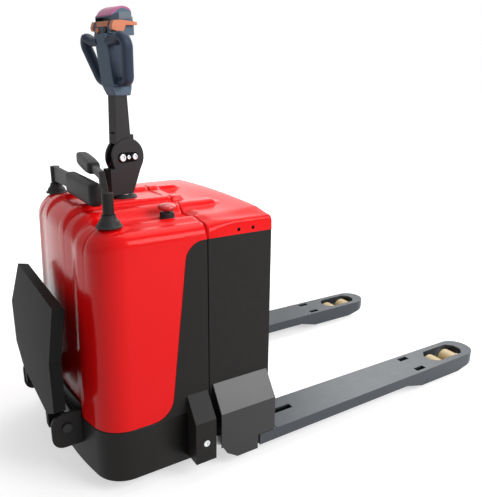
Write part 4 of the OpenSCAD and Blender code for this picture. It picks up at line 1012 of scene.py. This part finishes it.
class TRUCK_OT_handle(bpy.types.Operator):
    """Handle head with its bows, belly button, thumb control and push buttons, and painted shade on the
    spine's sides
    """

    bl_idname = "truck.handle"
    bl_label = "Handle"

    def execute(self, context):
        softened("tiller_head", "tiller", "head_plastic", 4, 4)
        grip = size("grip_r")
        for side, name in SIDES:
            bm = bmesh.new()
            path = bow_path(side)
            across = [grip * BOW_WIDE] * len(path)
            along = [grip * BOW_DEEP] * len(path)
            bar(bm, path, STEER_U, across, along, 28, 2.6)
            replaces = ("handle_bows",) if side < 0 else ()
            piece(bm, "bow_" + name, "tiller", "grip_rubber", replaces, angle=50)
            for made, body, finish, outline, inner, outer, width, steps in SIDE_PLATES:
                block(made + name, body, finish, outline, head_side,
                      side * inner, side * outer, width, steps)
        for made, body, finish, outline, half, width, steps, replaces in HEAD_BLOCKS:
            block(made, body, finish, outline, head_side, -half, half, width, steps, replaces)
        block("front_plate", "tiller", "orange_plastic", oblong(*FRONT_PLATE), steered_end,
              *FRONT_PLATE_DEPTH, 1.5)
        softened("thumb_control", "thumb_control", "orange_plastic", 3)
        softened("lift_button", "lift_button", "orange_plastic", 2)
        softened("lower_button", "lower_button", "black_plastic", 2)
        return {"FINISHED"}


# Side arms, platform, stop and wheels

# Turn of the folded arms in degrees, and the reach of an arm from its post
ARM_TURN = {-1: 81.5, 1: -90}
ARM_REACH = 475
# Length and half thickness of a pad, length of its round ends, and how many rings shape it
PAD_LEN = 275
PAD_HALF = 21
PAD_END = 16
PAD_RINGS = 30
BOOT_PROFILE = ([(10, 0), (37, 0), (37, 3.5), (35.5, 5), (33, 6)] + arc(42, 34, 22, 232, 180, 8)
                + [(19, 34), (10, 34), (10, 0)])
STOP_BASE_PROFILE = [(9, -3), (25, -3), (25, 2), (23, 4), (22, 18.5), (20.5, 20), (9, 20), (9, -3)]
STOP_KNOB_PROFILE = ([(0, 21), (8, 21), (8, 26), (20, 26)] + arc(20, 34, 8, -90, 70, 9)
                     + [(12, 45), (0, 46.2)])
ROLLERS = ("front_roller_right", "front_roller_left", "rear_roller_right", "rear_roller_left")
# Radii of a roller's bore and of its hub ring
ROLLER_BORE = 10.1
HUB_R = 22


def arm_at(side, a, z):
    """A point of a side arm's middle line, a along the folded arm from its post."""
    turn = math.radians(ARM_TURN[side])
    return at(POST[0] + a * math.cos(turn), side * POST[1] + a * math.sin(turn), z)


def pad_rings(side, middle, tall):
    """Middle line, half widths and half heights of a pad; the near pad narrows towards its ends."""
    path, across, along = [], [], []
    for i in range(PAD_RINGS + 1):
        s = (1 - math.cos(math.pi * i / PAD_RINGS)) / 2
        inward = min(1.0, min(s, 1 - s) * PAD_LEN / PAD_END)
        end = math.sqrt(max(0.0, 1 - (1 - inward) ** 2))
        leaf = 1.0
        if side < 0:
            leaf = 1 - 0.20 * smooth_step(0.35, 0, s) - 0.10 * smooth_step(0.75, 1, s)
        crown = 0.93 + 0.07 * math.sin(math.pi * s)
        path.append(arm_at(side, ARM_REACH - PAD_LEN + PAD_LEN * s, middle))
        across.append(PAD_HALF * crown * max(0.12, end))
        along.append(tall * leaf * (0.35 + 0.65 * end))
    return path, across, along


class TRUCK_OT_arms(bpy.types.Operator):
    """Folding side arms with moulded pads on their posts and boots"""

    bl_idname = "truck.arms"
    bl_label = "Side arms"

    def execute(self, context):
        for side, name in SIDES:
            arm, pad = "side_arm_" + name, "arm_pad_" + name
            softened(arm, arm, "black_panel", 3)
            low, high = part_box(pad)
            middle = (low[2] + high[2]) / 2 / MM
            tall = (high[2] - low[2]) / 2 / MM
            path, across, along = pad_rings(side, middle, tall)
            bm = bmesh.new()
            bar(bm, path, Vector(UP), across, along, 40, 4.0)
            piece(bm, "pad_" + name, arm, "pad_skin", (pad,), angle=60)
        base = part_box("arm_boots")[0][2] / MM
        bm = bmesh.new()
        for side, _ in SIDES:
            lathe(bm, BOOT_PROFILE, at(POST[0], side * POST[1], base), UP)
        piece(bm, "boots", "chassis", "boot_rubber", ("arm_boots",))
        return {"FINISHED"}


class TRUCK_OT_platform(bpy.types.Operator):
    """Folding platform tray with its ears and hinge pin"""

    bl_idname = "truck.platform"
    bl_label = "Platform"

    def execute(self, context):
        softened("platform_tray", "platform", "tray_black", 2.4)
        softened("platform_bracket", "chassis", "black_panel", 2.4)
        softened("platform_mat", "platform", "black_rubber", 1.5, 2)
        softened("platform_hinge_pin", "chassis", "black_plastic", 1.5, 2)
        return {"FINISHED"}


class TRUCK_OT_stop(bpy.types.Operator):
    """Emergency stop with its black base and red mushroom knob"""

    bl_idname = "truck.stop"
    bl_label = "Emergency stop"

    def execute(self, context):
        foot = at(*STOP, size("hood_z") - size("pocket"))
        bm = bmesh.new()
        lathe(bm, STOP_BASE_PROFILE, foot, UP)
        piece(bm, "stop_base", "chassis", "black_plastic", ("stop_switch_base",))
        bm = bmesh.new()
        lathe(bm, STOP_KNOB_PROFILE, foot, UP)
        piece(bm, "stop_button", "stop_knob", "stop_red", ("stop_knob",))
        return {"FINISHED"}


class TRUCK_OT_wheels(bpy.types.Operator):
    """Load rollers with round tread edges and hub rings"""

    bl_idname = "truck.wheels"
    bl_label = "Load rollers"

    def execute(self, context):
        for node in ROLLERS:
            low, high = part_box(node)
            middle = (Vector(low) + Vector(high)) / 2
            half = (high[1] - low[1]) / 2 / MM
            r = (high[2] - low[2]) / 2 / MM
            rim = [(ROLLER_BORE, 0), (HUB_R, 0), (HUB_R + 2, 2), (r - 6, 1), (r - 2, 3), (r, 8)]
            profile = [(d, h - half) for d, h in rim] + [(d, half - h) for d, h in reversed(rim)]
            bm = bmesh.new()
            lathe(bm, profile + profile[:1], middle, (0, 1, 0), 64)
            piece(bm, "tread_" + node, node, "cream_tread", (node,))
        return {"FINISHED"}


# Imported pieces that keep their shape, by finish
KEPT = {
    "black_panel": ("chassis_plate", "chassis_frame", "chassis_uprights"),
    "bright_steel": ("arm_posts", "steer_bearing", "steer_column", "lift_rods"),
    "zinc_steel": ("hydraulic_tank", "lift_cylinders", "motor_controller", "lift_rocker", "push_rods",
                   "bogies", "castor_yoke_right", "castor_yoke_left", "motor_brake"),
    "fork_paint": ("wheel_arms",),
    "cast_grey": ("pump_motor", "traction_motor", "drive_gearbox"),
    "alloy": ("drive_wheel_hub",),
    "drive_tyre": ("drive_wheel_tyre",),
    "black_rubber": ("castor_wheel_right", "castor_wheel_left"),
    "battery_case": ("battery",),
}


class TRUCK_OT_finishes(bpy.types.Operator):
    """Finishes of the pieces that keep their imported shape"""

    bl_idname = "truck.finishes"
    bl_label = "Finishes of kept pieces"

    def execute(self, context):
        for finish, nodes in KEPT.items():
            for node in nodes:
                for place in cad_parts[node].material_slots:
                    place.material = material(finish)
        return {"FINISHED"}


# Stage

# The camera's place in the truck's frame, its angles in degrees, and its sensor and shift
CAMERA_AT = (-972.3, -1751.9, 1226.5)
CAMERA_TURN = -32.0
CAMERA_TIP = 73.2
CAMERA_ROLL = 0.5
SENSOR = 36
CAMERA_SHIFT = (-0.0038, -0.0012)
# Lights: name, place and target in metres, size, and share of the key light's power
LIGHTS = (
    ("key", (1.5, -3.2, 2.5), (0.1, 0, 0.4), 2.2, 1.0),
    ("top", (0.6, 0.4, 3.6), (0.1, 0, 0.3), 2.6, 0.38),
    ("rear", (2.6, 1.6, 2.4), (0.1, 0, 0.4), 1.8, 0.35),
    ("glare", (1.5, 3.6, 2.1), (-0.4, 0, 0.8), 1.7, 0.05),
)
WHITE = (1, 1, 1, 1)
FLOOR_GREY = (0.66, 0.66, 0.66, 1)
FLOOR_HALF = 60.0


def background_rays(tree):
    """1 for the rays that see the white background: from the camera, mirrored and through glass."""
    path = new_node(tree, "ShaderNodeLightPath")
    mirrored = new_node(tree, "ShaderNodeMath", operation="MAXIMUM")
    every = new_node(tree, "ShaderNodeMath", operation="MAXIMUM")
    tree.links.new(path.outputs["Is Camera Ray"], mirrored.inputs[0])
    tree.links.new(path.outputs["Is Glossy Ray"], mirrored.inputs[1])
    tree.links.new(mirrored.outputs[0], every.inputs[0])
    tree.links.new(path.outputs["Is Transmission Ray"], every.inputs[1])
    return every.outputs[0]


def white_room(scene, strength):
    """A world that lights the truck from all around and is seen as plain white."""
    world = bpy.data.worlds.new("studio")
    world.use_nodes = True
    scene.world = world
    tree = world.node_tree
    tree.nodes.clear()
    room = new_node(tree, "ShaderNodeBackground")
    put(room, {"Color": WHITE, "Strength": strength})
    back = new_node(tree, "ShaderNodeBackground")
    put(back, {"Color": WHITE, "Strength": 1.0})
    mix = new_node(tree, "ShaderNodeMixShader")
    leave = new_node(tree, "ShaderNodeOutputWorld")
    tree.links.new(background_rays(tree), mix.inputs["Fac"])
    tree.links.new(room.outputs[0], mix.inputs[1])
    tree.links.new(back.outputs[0], mix.inputs[2])
    tree.links.new(mix.outputs[0], leave.inputs["Surface"])


def floor_finish():
    """A matt floor that shows the shadow near the truck and fades to white further out."""
    finish = bpy.data.materials.new("floor")
    finish.use_nodes = True
    tree = finish.node_tree
    shader = tree.nodes["Principled BSDF"]
    put(shader, {"Base Color": FLOOR_GREY, "Roughness": 0.9, "Specular IOR Level": 0.05,
                 "Emission Color": WHITE})
    place = new_node(tree, "ShaderNodeTexCoord")
    far = new_node(tree, "ShaderNodeVectorMath", operation="LENGTH")
    fade = new_node(tree, "ShaderNodeMapRange", interpolation_type="SMOOTHSTEP")
    put(fade, {"From Min": 0.9, "From Max": 3.2, "To Min": 0.55, "To Max": 1.0})
    gleam = new_node(tree, "ShaderNodeMath", operation="MULTIPLY")
    tree.links.new(place.outputs["Object"], far.inputs[0])
    tree.links.new(far.outputs["Value"], fade.inputs["Value"])
    tree.links.new(background_rays(tree), gleam.inputs[0])
    tree.links.new(fade.outputs["Result"], gleam.inputs[1])
    tree.links.new(gleam.outputs[0], shader.inputs["Emission Strength"])
    return finish


def stage_object(name, data):
    """Links an object of the stage."""
    obj = bpy.data.objects.new(name, data)
    bpy.context.collection.objects.link(obj)
    return obj


def lay_floor():
    """A wide flat floor under the wheels."""
    bm = bmesh.new()
    bmesh.ops.create_grid(bm, x_segments=2, y_segments=2, size=FLOOR_HALF)
    mesh = bpy.data.meshes.new("floor")
    bm.to_mesh(mesh)
    bm.free()
    stage_object("floor", mesh)
    mesh.materials.append(floor_finish())


def area_light(name, place, target, width, power):
    """A soft square light that looks at a point."""
    data = bpy.data.lights.new(name, "AREA")
    data.size = width
    data.energy = power
    obj = stage_object(name, data)
    obj.location = place
    obj.rotation_euler = (Vector(target) - Vector(place)).to_track_quat("-Z", "Y").to_euler()


def photo_camera(lens):
    """The camera that sees the truck as the photograph does."""
    data = bpy.data.cameras.new("photo_camera")
    data.lens = lens
    data.sensor_width = SENSOR
    data.shift_x, data.shift_y = CAMERA_SHIFT
    camera = stage_object("photo_camera", data)
    turn = Matrix.Rotation(math.radians(CAMERA_TURN), 4, "Z")
    tip = Matrix.Rotation(math.radians(CAMERA_TIP), 4, "X")
    roll = Matrix.Rotation(math.radians(CAMERA_ROLL), 4, "Z")
    camera.matrix_world = Matrix.Translation(at(*CAMERA_AT)) @ turn @ tip @ roll
    return camera


class TRUCK_OT_stage(bpy.types.Operator):
    """Pale floor, soft studio light and the camera of the photograph"""

    bl_idname = "truck.stage"
    bl_label = "Stage"

    def execute(self, context):
        scene = context.scene
        settings = scene.truck_stage
        scene.view_settings.view_transform = "Standard"
        white_room(scene, settings.sky)
        lay_floor()
        for name, place, target, width, share in LIGHTS:
            area_light(name, place, target, width, settings.key_power * share)
        scene.camera = photo_camera(settings.lens)
        return {"FINISHED"}


# Panel and registration

OPERATORS = (
    TRUCK_OT_cowl, TRUCK_OT_cover, TRUCK_OT_panels, TRUCK_OT_side_boxes, TRUCK_OT_forks,
    TRUCK_OT_tiller, TRUCK_OT_handle, TRUCK_OT_arms, TRUCK_OT_platform, TRUCK_OT_stop,
    TRUCK_OT_wheels, TRUCK_OT_finishes, TRUCK_OT_stage,
)


class TRUCK_PT_panel(bpy.types.Panel):
    """Lists the truck's sizes, colours and operators"""

    bl_idname = "TRUCK_PT_panel"
    bl_label = "Pallet truck"
    bl_space_type = "VIEW_3D"
    bl_region_type = "UI"
    bl_category = "Pallet truck"

    def draw(self, context):
        scene = context.scene
        for group in (scene.truck_sizes, scene.truck_colours, scene.truck_stage):
            column = self.layout.column()
            for name in group.__annotations__:
                column.prop(group, name)
        column = self.layout.column()
        for operator in OPERATORS:
            column.operator(operator.bl_idname)


GROUPS = {"truck_sizes": TruckSizes, "truck_colours": TruckColours, "truck_stage": StageSettings}


def register():
    for name, group in GROUPS.items():
        bpy.utils.register_class(group)
        setattr(bpy.types.Scene, name, bpy.props.PointerProperty(type=group))
    for made in (*OPERATORS, TRUCK_PT_panel):
        bpy.utils.register_class(made)


def unregister():
    for made in (TRUCK_PT_panel, *reversed(OPERATORS)):
        bpy.utils.unregister_class(made)
    for name, group in GROUPS.items():
        delattr(bpy.types.Scene, name)
        bpy.utils.unregister_class(group)


def main():
    register()
    for operator in OPERATORS:
        group, name = operator.bl_idname.split(".")
        getattr(getattr(bpy.ops, group), name)()


if __name__ == "__main__":
    main()
